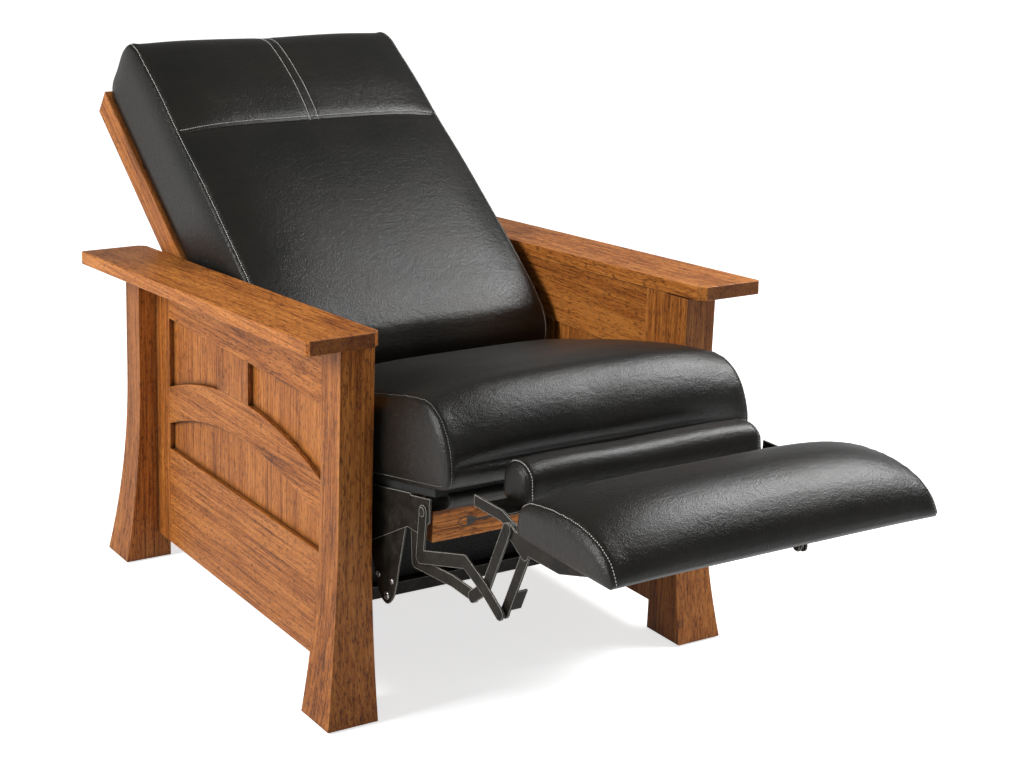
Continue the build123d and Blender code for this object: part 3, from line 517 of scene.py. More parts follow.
@dataclass(frozen=True)
class InlayFinish:
    """Dark wood let into the front rail."""

    def material(self) -> bpy.types.Material:
        """Near-black stripes along X.

        Returns:
            The material.
        """
        w = Wiring("inlay_wood")
        stripes = w.noise(w.place(size=(12.0, 300.0, 300.0)), 1.0, 3.0, 0.6)
        colour = w.ramp(stripes, (0.3, (0.012, 0.007, 0.004)), (0.75, (0.045, 0.022, 0.011)))
        return w.dress(Base_Color=colour, Roughness=w.ramp(stripes, (0.2, 0.5), (0.8, 0.36)),
                       Normal=w.bump(stripes, 0.0001))


@dataclass(frozen=True)
class LeatherFinish:
    """Black upholstery leather: pebbled grain, soft creases and a faint brown cast."""

    name: str = "leather"
    black: tuple = (0.0068, 0.0068, 0.0058)
    brown: tuple = (0.0135, 0.0110, 0.0082)
    pebble_depth: float = 0.00036
    dimple_depth: float = 0.0007
    slack_depth: float = 0.0012
    smoothness: float = 0.20

    def material(self) -> bpy.types.Material:
        """Cells and fine noise for the pebbling, wider noise for dimples and slack.

        Returns:
            The material.
        """
        w = Wiring(self.name)
        where = w.place()
        cloud = w.noise(where, 6.0, 3.0, 0.6)
        pebble = w.node("TexVoronoi", {"Vector": where, "Scale": 560.0}, feature="SMOOTH_F1"
                        ).outputs["Distance"]
        fine = w.noise(w.place(size=(1.0, 2.2, 2.2)), 380.0, 3.0, 0.6)
        dimple = w.noise(w.place(size=(1.0, 1.7, 1.7)), 62.0, 3.0, 0.55, 0.5)
        colour = w.mix(w.ramp(cloud, (0.35, 0.0), (0.75, 1.0)), self.black, self.brown)
        rough = w.sum("ADD", w.sum("MULTIPLY", cloud, 0.12), w.sum("MULTIPLY", fine, 0.16))
        rough = w.sum("ADD", rough, self.smoothness)
        height = w.sum("ADD", pebble, w.sum("MULTIPLY", fine, 0.9))
        slack = w.bump(dimple, self.dimple_depth, w.bump(cloud, self.slack_depth))
        normal = w.bump(height, self.pebble_depth, slack)
        return w.dress(Base_Color=colour, Roughness=rough, Normal=normal,
                       Specular_IOR_Level=0.36)


@dataclass(frozen=True)
class ThreadFinish:
    """Sewing thread."""

    name: str = "pale_thread"
    low: tuple = (0.36, 0.36, 0.34)
    high: tuple = (0.68, 0.68, 0.64)

    def material(self) -> bpy.types.Material:
        """Twist stripes across the thread.

        Returns:
            The material.
        """
        w = Wiring(self.name)
        twist = w.noise(w.place(), 1400.0, 2.0)
        colour = w.ramp(twist, (0.3, self.low), (0.7, self.high))
        return w.dress(Base_Color=colour, Roughness=w.ramp(twist, (0.0, 0.7), (1.0, 0.5)),
                       Normal=w.bump(twist, 0.0001))


@dataclass(frozen=True)
class SteelFinish:
    """Sheet steel, either painted near-black or left bright."""

    name: str
    low: tuple = (0.003, 0.0028, 0.0024)
    high: tuple = (0.026, 0.022, 0.017)
    # Pale colour for the scuffs, which are worn paint, and for every edge, where it is painted highlight
    # with worn paint.
    worn_and_glint: tuple = (0.58, 0.56, 0.50)
    metal: float = 0.0
    rough: float = 0.42
    shine: float = 0.12
    edge_radius: float = 0.0020

    def material(self) -> bpy.types.Material:
        """Cloudy paint with scuffs, and pale edges that are painted highlight with worn paint.

        Returns:
            The material.
        """
        w = Wiring(self.name)
        where = w.place()
        cloud = w.noise(where, 28.0, 4.0, 0.65)
        scuff = w.noise(w.place(size=(40.0, 300.0, 90.0)), 1.0, 3.0, 0.6)
        eased, edge = w.rounded(self.edge_radius)
        colour = w.mix(w.ramp(cloud, (0.3, 0.0), (0.7, 1.0)), self.low, self.high)
        colour = w.mix(w.sum("MULTIPLY", w.ramp(scuff, (0.60, 0.0), (0.80, 1.0)), 0.07), colour,
                       self.worn_and_glint)
        # Pale along every edge: painted highlight on the eased edge, with worn paint.
        colour = w.mix(w.sum("MULTIPLY", edge, 0.85), colour, self.worn_and_glint)
        rough = w.sum("ADD", w.sum("MULTIPLY", cloud, 0.22), self.rough - 0.11)
        return w.dress(Base_Color=colour, Metallic=self.metal, Roughness=rough,
                       Specular_IOR_Level=self.shine, Normal=w.bump(scuff, 0.00004, eased))


@dataclass(frozen=True)
class NylonFinish:
    """Dark moulded nylon with a fine spark texture."""

    def material(self) -> bpy.types.Material:
        """Even grain on a soft grey-black.

        Returns:
            The material.
        """
        w = Wiring("nylon")
        spark = w.noise(w.place(), 1500.0, 2.0)
        colour = w.ramp(spark, (0.3, (0.012, 0.012, 0.013)), (0.7, (0.028, 0.028, 0.03)))
        return w.dress(Base_Color=colour, Roughness=w.ramp(spark, (0.0, 0.6), (1.0, 0.42)),
                       Normal=w.bump(spark, 0.00008))


@dataclass(frozen=True)
class LinerFinish:
    """Black non-woven dust cloth over the boards under the seat."""

    name: str = "liner"

    def material(self) -> bpy.types.Material:
        """Short crossed fibres on near-black.

        Returns:
            The material.
        """
        w = Wiring(self.name)
        first = w.noise(w.place((0.0, 0.0, 35.0), (900.0, 120.0, 400.0)), 1.0, 2.0)
        second = w.noise(w.place((0.0, 0.0, -40.0), (900.0, 120.0, 400.0)), 1.0, 2.0)
        fibre = w.sum("MULTIPLY", first, second)
        colour = w.ramp(fibre, (0.15, (0.006, 0.006, 0.006)), (0.4, (0.020, 0.021, 0.020)))
        return w.dress(Base_Color=colour, Roughness=w.ramp(fibre, (0.1, 0.95), (0.4, 0.8)),
                       Normal=w.bump(fibre, 0.0003))


@dataclass(frozen=True)
class Plane:
    """A plane square to the chair's side, by the Y and Z of its start and its rise in degrees."""

    start: tuple = (0.0, 0.0)
    rise: float = 0.0

    def at(self, a: np.ndarray, b: np.ndarray) -> tuple:
        """Y and Z of a place: a back along the plane from its start, b square above it."""
        c, s = math.cos(math.radians(self.rise)), math.sin(math.radians(self.rise))
        return self.start[0] + a * c - b * s, self.start[1] + a * s + b * c


SEAT_PLANE = Plane((-406.0, 432.0), -SEAT_PITCH)
BACK_PLANE = Plane((242.995, 365.005), BACK_TILT)
UPRIGHT = Plane()


@dataclass
class SewnLine:
    """A row of stitches, by its places across X and round the outline."""

    x: tuple
    turn: tuple


def both_sides(x: float, turn: tuple) -> list:
    """The same sewn line at both sides."""
    return [SewnLine((x, x), turn), SewnLine((-x, -x), turn)]


@dataclass
class Cushion:
    """A stuffed piece: one outline carried across X, with bulging panels at both ends.

    Each knot is the outline's two coordinates at the side seams, the crown that
    the middle of the piece adds to them, and one for a corner. The shares say
    how far each ring of an end panel has drawn in towards the spine.
    """

    name: str
    node: str | None
    body: str
    plane: Plane
    knots: tuple
    spine: tuple
    seam_x: float
    bulge: float = 6.0
    power: float = 4.5
    fill: float = 0.8
    welt: float = 1.6
    crease: float = 2.4
    pucker: float = 0.7
    swell: float = 0.0
    held_turns: tuple = ()
    calm: int = 8
    flat_below: float = 0.0
    fine_turns: tuple = ()
    fine_x: tuple = ()
    stitches: list = field(default_factory=list)
    thread: float = 0.75
    round_steps: tuple = (9.0, 1.4)
    across_steps: tuple = (14.0, 1.5)
    step_reach: float = 9.0
    lift_height: float = 14.0
    cloth_step: float = 11.0
    held_reach: float = 9.0
    held_band: float = 6.0
    panel_curve: tuple = (0.6, 2.4)
    ring_shares: tuple = (0.015, 0.035, 0.06, 0.10, 0.16, 0.24, 0.34, 0.46, 0.60, 0.75, 0.92)
    rows: np.ndarray = field(init=False)
    arc: np.ndarray = field(init=False)
    turns: np.ndarray = field(init=False)
    low: np.ndarray = field(init=False)
    length: float = field(init=False)

    def outline(self) -> np.ndarray:
        """Cut the outline into the grid's columns, with close steps at the marks.

        Returns:
            Seam outline and crown, one row a column.
        """
        table = np.array(self.knots, float)
        curve = smooth_loop(table[:, :4], table[:, 4] > 0.5)
        closed = np.vstack([curve, curve[:1]])
        arc = arc_length(closed[:, :2])
        marks = [arc[int(round(turn * LOOP_STEPS))] for turn in self.fine_turns]
        steps = graded(0.0, arc[-1], *self.round_steps, marks, self.step_reach)[:-1]
        columns = [np.interp(steps, arc, closed[:, k]) for k in range(4)]
        self.arc, self.length = steps, arc[-1]
        self.turns = np.interp(steps, arc, np.arange(len(closed)) / LOOP_STEPS)
        return np.stack(columns, axis=1)

    def grid(self) -> np.ndarray:
        """Points by row across X and column round the outline.

        A point is the seam outline plus the crown times one less the share of
        the width to a power. Past a side seam the outline shrinks towards the
        spine while X swells. Grooves and welts push points away from the spine.

        Returns:
            Array of rows, columns and XYZ.
        """
        outline = self.outline()
        seam, crown = outline[:, :2], outline[:, 2:]
        start, end = (np.array(p, float) for p in self.spine)
        along = end - start
        share = np.clip((seam - start) @ along / (along @ along), 0.0, 1.0)
        core = start + share[:, None] * along
        out = seam - core
        out = out / np.linalg.norm(out, axis=1)[:, None]
        x = graded(-self.seam_x, self.seam_x, *self.across_steps,
                   (-self.seam_x, self.seam_x, *self.fine_x), self.step_reach)
        ring = np.array(self.ring_shares)
        reach, power = self.panel_curve
        side_x = self.seam_x + self.bulge * (1.0 - (1.0 - np.clip(ring / reach, 0, 1)) ** power)
        self.rows = np.concatenate([-side_x[::-1], x, side_x])
        shrink = np.concatenate([ring[::-1], np.zeros_like(x), ring])
        full = 1.0 - np.abs(np.clip(self.rows / self.seam_x, -1, 1)) ** self.power
        lift = ease((seam[:, 1] - self.flat_below) / self.lift_height)
        self.low = lift < 0.5
        inner = self.seam_x - np.abs(self.rows)
        relief = self.relief(inner[:, None], self.rows[:, None]) * lift[None, :]
        section = seam[None] + crown[None] * full[:, None, None]
        section = core[None] + (section - core[None]) * (1.0 - shrink)[:, None, None]
        section = section + out[None] * relief[..., None]
        y, z = self.plane.at(section[..., 0], section[..., 1])
        return np.stack([np.broadcast_to(self.rows[:, None], y.shape), y, z], axis=-1)

    def relief(self, inner: np.ndarray, x: np.ndarray) -> np.ndarray:
        """Height of welts and grooves: bells by the distance inside the seam.

        Args:
            inner: Distance inside the seam by row, below zero on an end panel.
            x: Place across by row.

        Returns:
            Height by row and column.
        """
        wave = np.sin(self.arc * 0.29 + 2.1 * np.sin(self.arc * 0.031) + 1.3 * np.sin(self.arc * 0.083))
        top = ridges(inner, ((self.welt, 12.0, 8.0), (-self.crease, 0.0, 2.2), (-0.8, 6.0, 1.6)))
        top = top + self.pucker * wave[None, :] * hump(inner, 9.0, 6.5)
        side = (ridges(inner, ((-self.crease, 0.0, 3.0),))
                + 0.6 * self.pucker * np.roll(wave, 3)[None, :] * hump(inner, -4.0, 3.0))
        return np.where(inner >= -0.01, top, side)

    def build(self, leather: bpy.types.Material, thread: bpy.types.Material) -> bpy.types.Object:
        """Make the cushion and its stitches, and hang both on their body.

        Args:
            leather: Finish of the cover.
            thread: Finish of the stitches.

        Returns:
            The cushion.
        """
        points = self.grid()
        if self.swell:
            points = self.stuffed(points)
        faces = tube_faces(points.shape[0], points.shape[1])
        piece = mesh_piece(self.name, points.reshape(-1, 3), faces)
        outward(piece)
        piece.data.materials.append(leather)
        if self.node:
            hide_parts(self.node)
        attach(piece, self.body)
        log.info("%s: %d faces", self.name, len(piece.data.polygons))
        if self.stitches:
            self.sew(points, thread)
        return piece

    def stuffed(self, points: np.ndarray) -> np.ndarray:
        """Blow the cover up from inside, with its seams held, and take over the moves.

        The cloth is the grid thinned to about eleven millimetres. Its moves are
        averaged with their neighbours a few times, limited to the swell times tanh
        of their length over the swell, and spread back over the full grid in two
        steps of linear interpolation.

        Args:
            points: The cushion's grid.

        Returns:
            The grid after the swelling.
        """
        i, j = thinned(self.rows, self.cloth_step), thinned(self.arc, self.cloth_step)
        x, arc = self.rows[i], self.arc[j]
        coarse = points[np.ix_(i, j)]
        held = (np.abs(x) > self.seam_x - self.held_band)[:, None] | self.low[j][None, :]
        for turn in self.held_turns:
            mark = np.interp(turn, self.turns, self.arc)
            held = held | (np.abs(arc - mark) < self.held_reach)[None, :]
        moves = Stuffing().moves(self.name, coarse, held)
        for _ in range(self.calm):
            moves = (np.roll(moves, 1, axis=1) + 2.0 * moves + np.roll(moves, -1, axis=1)) / 4.0
            moves[1:-1] = (moves[:-2] + 2.0 * moves[1:-1] + moves[2:]) / 4.0
        moves[held] = 0.0
        size = np.linalg.norm(moves, axis=2, keepdims=True) + 1e-9
        moves *= self.swell * np.tanh(size / self.swell) / size
        log.info("%s: swells by %.1f mm at most", self.name, np.linalg.norm(moves, axis=2).max())
        wide = np.stack([np.stack([np.interp(self.arc, arc, row[:, k], period=self.length)
                                   for k in range(3)], axis=1) for row in moves])
        spot = np.interp(self.rows, x, np.arange(len(x)))
        low = np.clip(spot.astype(int), 0, len(x) - 2)
        share = (spot - low)[:, None, None]
        return points + (1 - share) * wide[low] + share * wide[low + 1]

    def sew(self, points: np.ndarray, thread: bpy.types.Material) -> None:
        """Lay every sewn line on the finished grid.

        Args:
            points: The cushion's grid.
            thread: Finish of the stitches.
        """
        ways = []
        for line in self.stitches:
            share = np.linspace(0.0, 1.0, SEWN_SAMPLES)
            x = np.interp(share, np.linspace(0, 1, len(line.x)), line.x)
            turn = np.interp(share, np.linspace(0, 1, len(line.turn)), line.turn)
            ways.append(self.on_grid(points, x, turn))
        piece = stitch_row(self.name + "_stitches", ways, self.thread)
        piece.data.materials.append(thread)
        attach(piece, self.body)
        log.info("%s: %d faces", piece.name, len(piece.data.polygons))

    def on_grid(self, points: np.ndarray, x: np.ndarray, turn: np.ndarray) -> tuple:
        """Places and normals on the grid.

        Args:
            points: The cushion's grid.
            x: Rows wanted, as X.
            turn: Columns wanted, in knots round the outline.

        Returns:
            Points and unit normals, one row each.
        """
        row = np.interp(x, self.rows, np.arange(len(self.rows)))
        column = np.interp(turn, self.turns, np.arange(len(self.turns)))
        i = np.clip(row.astype(int), 0, len(self.rows) - 2)
        j = np.clip(column.astype(int), 0, len(self.turns) - 2)
        a, b = (row - i)[:, None], (column - j)[:, None]
        p00, p01, p10, p11 = points[i, j], points[i, j + 1], points[i + 1, j], points[i + 1, j + 1]
        spot = (1 - a) * ((1 - b) * p00 + b * p01) + a * ((1 - b) * p10 + b * p11)
        normal = np.cross(p10 + p11 - p00 - p01, p01 + p11 - p00 - p10)
        normal /= np.linalg.norm(normal, axis=1)[:, None]
        middle = points.reshape(-1, 3).mean(axis=0)
        normal *= np.sign(np.sum(normal * (spot - middle), axis=1))[:, None]
        return spot, normal


def thinned(values: np.ndarray, step: float) -> np.ndarray:
    """Numbers of the values that lie about one step apart, both ends among them."""
    wanted = np.linspace(values[0], values[-1], int((values[-1] - values[0]) / step) + 1)
    return np.unique(np.abs(values[None, :] - wanted[:, None]).argmin(axis=1))


@dataclass(frozen=True)
class Stuffing:
    """Pressure that blows a closed cover up as cloth, and the cloth's own stiffness."""

    pressure: float = 4.0
    stretch: float = 12.0
    shear: float = 6.0
    bending: float = 0.4
    mass: float = 0.3
    damping: float = 3.0
    growth: float = 0.012
    quality: int = 6
    frames: int = 20

    def moves(self, name: str, points: np.ndarray, held: np.ndarray) -> np.ndarray:
        """Run a closed grid as cloth under pressure, without gravity.

        Args:
            name: Name for the passing object.
            points: Rows, columns and XYZ, in millimetres.
            held: True where a point stays.

        Returns:
            Each point's move, in millimetres.
        """
        scene = bpy.context.scene
        flat = points.reshape(-1, 3)
        piece = mesh_piece(name + "_cloth", flat, tube_faces(points.shape[0], points.shape[1]))
        outward(piece)
        group = piece.vertex_groups.new(name="held")
        group.add(np.flatnonzero(held.ravel()).tolist(), 1.0, "REPLACE")
        cloth = piece.modifiers.new("cloth", "CLOTH")
        rules = cloth.settings
        rules.quality, rules.mass, rules.air_damping = self.quality, self.mass, self.damping
        rules.tension_stiffness = rules.compression_stiffness = self.stretch
        rules.shear_stiffness, rules.bending_stiffness = self.shear, self.bending
        rules.use_pressure, rules.uniform_pressure_force = True, self.pressure
        rules.shrink_min = -self.growth
        rules.vertex_group_mass = "held"
        rules.effector_weights.gravity = 0.0
        for number in range(1, self.frames + 1):
            scene.frame_set(number)
        shape = piece.evaluated_get(bpy.context.evaluated_depsgraph_get()).to_mesh()
        after = np.empty(len(shape.vertices) * 3)
        shape.vertices.foreach_get("co", after)
        bpy.data.objects.remove(piece)
        scene.frame_set(1)
        return (after.reshape(-1, 3) / MM - flat).reshape(points.shape)


def outward(piece: bpy.types.Object) -> None:
    """Turn a closed mesh's faces outwards, by the sign of its volume.

    Args:
        piece: The closed piece.
    """
    made = bmesh.new()
    made.from_mesh(piece.data)
    if made.calc_volume(signed=True) < 0:
        bmesh.ops.reverse_faces(made, faces=made.faces)
    made.to_mesh(piece.data)
    made.free()


def stitch_row(name: str, ways: list, radius: float, pitch: float = 4.6, length: float = 3.5
               ) -> bpy.types.Object:
    """Separate stitches along paths: each a five-sided grain of thread, thin at its ends.

    The grain is a ring of five points carried along the path's tangent at five
    places, with its radius the root of one less the squared share of its half.
    It lies on the leather, raised by a share of the thread's radius.

    Args:
        name: The piece's name.
        ways: Pairs of points and normals along each path.
        radius: Half the thread's width.
        pitch: From stitch to stitch.
        length: Length of one stitch.

    Returns:
        One piece that holds every stitch.
    """
    span, raised = 1.5, 0.7
    spots, tangents, normals = [], [], []
    for path, normal in ways:
        arc = arc_length(path)
        at = np.arange(pitch, arc[-1] - pitch, pitch)
        step = places_along(at + span, arc, path) - places_along(at - span, arc, path)
        face = places_along(at, arc, normal)
        spots.append(places_along(at, arc, path))
        tangents.append(step / np.linalg.norm(step, axis=1)[:, None])
        normals.append(face / np.linalg.norm(face, axis=1)[:, None])
    spot, tangent, normal = (np.concatenate(v) for v in (spots, tangents, normals))
    side = np.cross(tangent, normal)
    share = np.array([-1.0, -0.72, 0.0, 0.72, 1.0])
    width = radius * np.sqrt(np.maximum(1.0 - share ** 2, 0.04))
    turn = np.radians(np.arange(5) * 72.0 + 18.0)
    grain = (spot[:, None, None] + tangent[:, None, None] * (share * length / 2)[None, :, None, None]
             + (side[:, None, None] * np.cos(turn)[None, None, :, None]
                + normal[:, None, None] * np.sin(turn)[None, None, :, None])
             * width[None, :, None, None] + normal[:, None, None] * radius * raised)
    one = tube_faces(5, 5)
    count = len(spot)
    quads = np.array([f for f in one if len(f) == 4])
    ends = np.array([f for f in one if len(f) == 5])
    shift = (np.arange(count) * 25)[:, None, None]
    faces = (quads[None] + shift).reshape(-1, 4).tolist() + (ends[None] + shift).reshape(-1, 5).tolist()
    return mesh_piece(name, grain.reshape(-1, 3), faces)


@dataclass
class BackCushion(Cushion):
    """The back cushion, with a sewn channel across it and two stitched lines down from the top."""

    channel_turn: float = 10.0
    top_turn: float = 4.0
    line_x: float = 9.0
    line_width: float = 1.8
    strip_width: float = 16.0
    channel_ridges: tuple = ((-2.6, 0.0, 4.0), (-0.6, -6.5, 1.6), (1.2, 15.0, 10.0),
                             (0.6, -19.0, 11.0))

    def relief(self, inner: np.ndarray, x: np.ndarray) -> np.ndarray:
        """Side welts, the channel across and the flat strip between the two upright lines.

        Args:
            inner: Distance inside the seam by row.
            x: Place across by row.

        Returns:
            Height by row and column.
        """
        base = super().relief(inner, x)
        mark = np.interp(self.channel_turn, self.turns, self.arc)
        top = np.interp(self.top_turn, self.turns, self.arc)
        away = (self.arc - mark)[None, :]
        channel = ridges(away, self.channel_ridges) * ease(inner / 26.0)
        above = ease((mark - self.arc)[None, :] / 14.0) * ease((self.arc - top)[None, :] / 20.0 + 1.0)
        pair = hump(x, -self.line_x, self.line_width) + hump(x, self.line_x, self.line_width)
        lines = -0.7 * pair - 0.9 * hump(x, 0.0, self.strip_width)
        return base + channel + above * lines


def seat_cushion() -> Cushion:
    """The seat: flat on its deck, crowned on top, with a rolled nose over a tuck.

    Returns:
        The piece, yet to be built.
    """
    return Cushion(
        "seat_leather", "seat_cushion", "seat", SEAT_PLANE,
        ((428, 0, 0, 0, 1), (437, 9, 1, 0, 0), (439, 55, 1, 3, 0), (435, 96, 0, 12, 0),
         (421, 113, 0, 20, 0), (376, 120, 0, 27, 0), (260, 126, 0, 31, 0), (130, 129, 0, 33, 0),
         (40, 131, -2, 26, 0), (4, 127, -7, 20, 0), (-20, 112, -9, 11, 0), (-36, 90, -9, 4, 0),
         (-44, 66, -6, 0, 0), (-47, 46, 4, 0, 0), (-47, 34, 13, 0, 0), (-46, 25, 7, 0, 0),
         (-42, 12, 2, 0, 0), (-32, 2, 0, 0, 0), (-20, 0, 0, 0, 1), (80, 0, 0, 0, 0),
         (300, 0, 0, 0, 0)),
        ((0, 66), (372, 60)), 287.0, bulge=6.0, fill=0.85, flat_below=0.0, fine_turns=(14.0,),
        swell=3.5, stitches=both_sides(281.0, (2.0, 17.3)) + both_sides(289.1, (16.8, 19.6)))


def back_cushion() -> BackCushion:
    """The back: a thick slab whose top panel is sewn on along the channel.

    Returns:
        The piece, yet to be built.
    """
    back = BackCushion(
        "back_leather", "back_cushion", "back", BACK_PLANE,
        ((-36, 47.3, 0, 0, 1), (350, 47.3, 0, 0, 0), (758, 47.3, 0, 0, 1), (769, 58, 1, 0, 0),
         (772, 110, 4, 0, 0), (769, 163, 3, 2, 0), (760, 182, 2, 6, 0), (742, 191, 0, 10, 0),
         (690, 196, 0, 17, 0), (600, 200, 0, 21, 0), (500, 199, 0, 19, 0), (400, 202, 0, 22, 0),
         (250, 202, 0, 21, 0), (120, 200, 0, 12, 0), (40, 195, 0, 5, 0), (0, 187, -2, 2, 0),
         (-26, 170, -3, 0, 0), (-43, 140, -3, 0, 0), (-48, 102, -2, 0, 0), (-45, 60, 0, 0, 0)),
        ((40, 118), (680, 118)), 285.0, bulge=6.0, fill=0.85, flat_below=47.3,
        fine_turns=(10.0,), fine_x=(-9.0, 9.0), top_turn=6.0, swell=6.0, held_turns=(10.0,))
    back.stitches = (both_sides(279.0, (5.0, 17.5)) + [SewnLine((-276.0, 276.0), (9.93, 9.93))]
                     + both_sides(-back.line_x, (4.2, 10.06)))
    return back


def footrest_pad() -> Cushion:
    """The footrest: round over its front, thin towards its toe.

    Returns:
        The piece, yet to be built.
    """
    return Cushion(
        "footrest_leather", "footrest_pad", "footrest", UPRIGHT,
        ((-642, 437.9, 0, 0, 1), (-637, 446, 1, 0, 0), (-637, 464, 1, 0, 0), (-640, 477, 0, 6, 0),
         (-650, 485.5, 0, 12, 0), (-680, 492.5, 0, 21, 0), (-721, 496, 0, 27, 0),
         (-765, 496, 0, 28, 0), (-800, 491, -1, 23, 0), (-828, 481, -3, 15, 0),
         (-848, 466, -5, 7, 0), (-858, 451, -4, 1, 0), (-860, 441, -2, 0, 0),
         (-856, 437.9, 0, 0, 1), (-800, 437.9, 0, 0, 0), (-700, 437.9, 0, 0, 0)),
        ((-668, 462), (-812, 457)), 293.0, bulge=5.0, fill=0.9, flat_below=437.9, swell=4.0,
        stitches=both_sides(287.0, (1.5, 12.5)))


def bar_pad() -> Cushion:
    """The small bar pad between seat and footrest.

    Returns:
        The piece, yet to be built.
    """
    return Cushion(
        "bar_leather", "mid_pad", "mid_footrest", UPRIGHT,
        ((-497, 437.9, 0, 0, 1), (-493, 443, 0, 0, 0), (-492, 465, 1, 1, 0), (-495, 484, 0, 4, 0),
         (-506, 494, 0, 6, 0), (-525, 498, 0, 6, 0), (-544, 494, 0, 6, 0), (-554, 484, 0, 4, 0),
         (-557, 465, -1, 1, 0), (-556, 443, 0, 0, 0), (-552, 437.9, 0, 0, 1), (-525, 437.9, 0, 0, 0)),
        ((-515, 470), (-535, 470)), 219.0, bulge=5.0, power=8.0, fill=0.95, flat_below=437.9,
        swell=1.5, stitches=both_sides(213.0, (1.0, 9.0)))


def apron_roll() -> Cushion:
    """The roll of leather tucked under the seat's front edge, above the oak rail.

    Returns:
        The piece, yet to be built.
    """
    return Cushion(
        "apron_leather", None, "seat", UPRIGHT,
        ((-340, 380, 0, 0, 0), (-338, 388, 0, 0, 0), (-352, 398, 0, 0, 0), (-388, 417, 0, 0, 0),
         (-404, 417, 0, 0, 0), (-409, 409, 0, 0, 0), (-402, 396, -1, 0, 0), (-383, 385, -2, -2, 0),
         (-366, 379, -1, -1, 0), (-354, 378, 0, 0, 0)),
        ((-356, 389), (-392, 405)), 258.0, bulge=1.0, welt=0.4, crease=0.6, pucker=0.2, fill=0.7,
        flat_below=376.0)


@dataclass
class Gusset:
    """Slack black cloth that closes the gap between the seat's deck and the back's foot."""

    half_width: float = 256.0
    deck_edge: tuple = (158.0, 326.0)
    run: tuple = (43.0, 62.0)
    sag: tuple = (6.0, -9.0)
    ripple: float = 0.7
    thickness: float = 0.0012
    grid: tuple = (90, 24)

    def build(self) -> None:
        """Make the cloth and blend it from the seat to the back.

        Its height is a straight run from deck to back, less a sag of one parabola,
        with a faint ripple across X that dies away at both edges.
        """
        rows, columns = self.grid
        x, s = np.meshgrid(np.linspace(-self.half_width, self.half_width, rows),
                           np.linspace(0.0, 1.0, columns), indexing="ij")
        sag = 4 * s * (1 - s)
        wave = self.ripple * np.sin(x / 11.0 + 1.5 * np.sin(x / 47.0)) * sag
        y = self.deck_edge[0] + self.run[0] * s + self.sag[0] * sag
        z = self.deck_edge[1] + self.run[1] * s + self.sag[1] * sag + wave
        i, j = np.meshgrid(np.arange(rows - 1), np.arange(columns - 1), indexing="ij")
        at = i * columns + j
        faces = np.stack([at, at + columns, at + columns + 1, at + 1], -1).reshape(-1, 4).tolist()
        piece = mesh_piece("back_gusset", np.stack([x, y, z], -1).reshape(-1, 3), faces)
        wall = piece.modifiers.new("thickness", "SOLIDIFY")
        wall.thickness, wall.offset = self.thickness, 0.0
        piece.data.materials.append(LinerFinish("gusset_cloth").material())
        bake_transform(piece)
        log.info("%s: %d faces", piece.name, len(faces))


@dataclass
class Upholstery:
    """The stuffed pieces with their thread, and the cloth behind the seat."""

    pale_sewn: list = field(default_factory=lambda: [back_cushion(), footrest_pad(), bar_pad(),
                                                     apron_roll()])
    seat: Cushion = field(default_factory=seat_cushion)
    gusset: Gusset = field(default_factory=Gusset)

    def build(self) -> None:
        """Make every cushion with its thread, then the gusset."""
        leather, pale = LeatherFinish().material(), ThreadFinish().material()
        grey = ThreadFinish("grey_thread", (0.09, 0.09, 0.085), (0.22, 0.22, 0.20)).material()
        for cushion in self.pale_sewn:
            cushion.build(leather, pale)
        self.seat.build(leather, grey)
        self.gusset.build()


def paint(piece: bpy.types.Object, material: bpy.types.Material) -> None:
    """Put one material in every slot of a piece.

    Args:
        piece: The piece.
        material: Its finish.
    """
    slots = piece.data.materials
    if not slots:
        slots.append(material)
    for number in range(len(slots)):
        slots[number] = material


def named(nodes: dict, starts: tuple) -> list:
    """Names of the nodes that start with one of some words, in order."""
    return sorted(name for name in nodes if name.startswith(starts))


@dataclass
class Joinery:
    """The oak frame's CAD boards, each with its own cut of oak."""

    across: tuple = ("front_oak_rail", "rear_rail", "back_top_rail", "back_bottom_rail")
    along: tuple = ("arm_board", "side_top_rail", "side_bottom_rail", "side_arch_rail")
    upright: tuple = ("leg_front", "leg_rear", "side_stile_front", "side_stile_rear",
                      "side_mullion", "side_panels")
    sloped: tuple = ("back_stile", "back_panel")
    # Painted light: each listed board is made lighter or darker to match how it is lit; the front rail is
    # brightened most, against the linkage's shade.
    lit_tones: tuple = (("front_oak_rail", 1.75), ("leg_front", 0.95), ("leg_rear", 0.95),
                    ("arm_board", 1.12), ("back_stile", 1.1))

    def dress(self, nodes: dict) -> None:
        """Give each board oak whose grain runs along it.

        Args:
            nodes: The CAD objects by name.
        """
        ways = ((self.across, Grain.ACROSS), (self.along, Grain.ALONG),
                (self.upright, Grain.UPRIGHT), (self.sloped, Grain.BACK_SLOPE))
        seed = 0
        for names, grain in ways:
            for name in named(nodes, names):
                seed += 1
                tone = next((t for start, t in self.lit_tones if name.startswith(start)), 1.0)
                paint(nodes[name], OakFinish(grain, seed, tone=tone).material())
                log.info("%s: oak, grain %s", name, grain.name.lower())


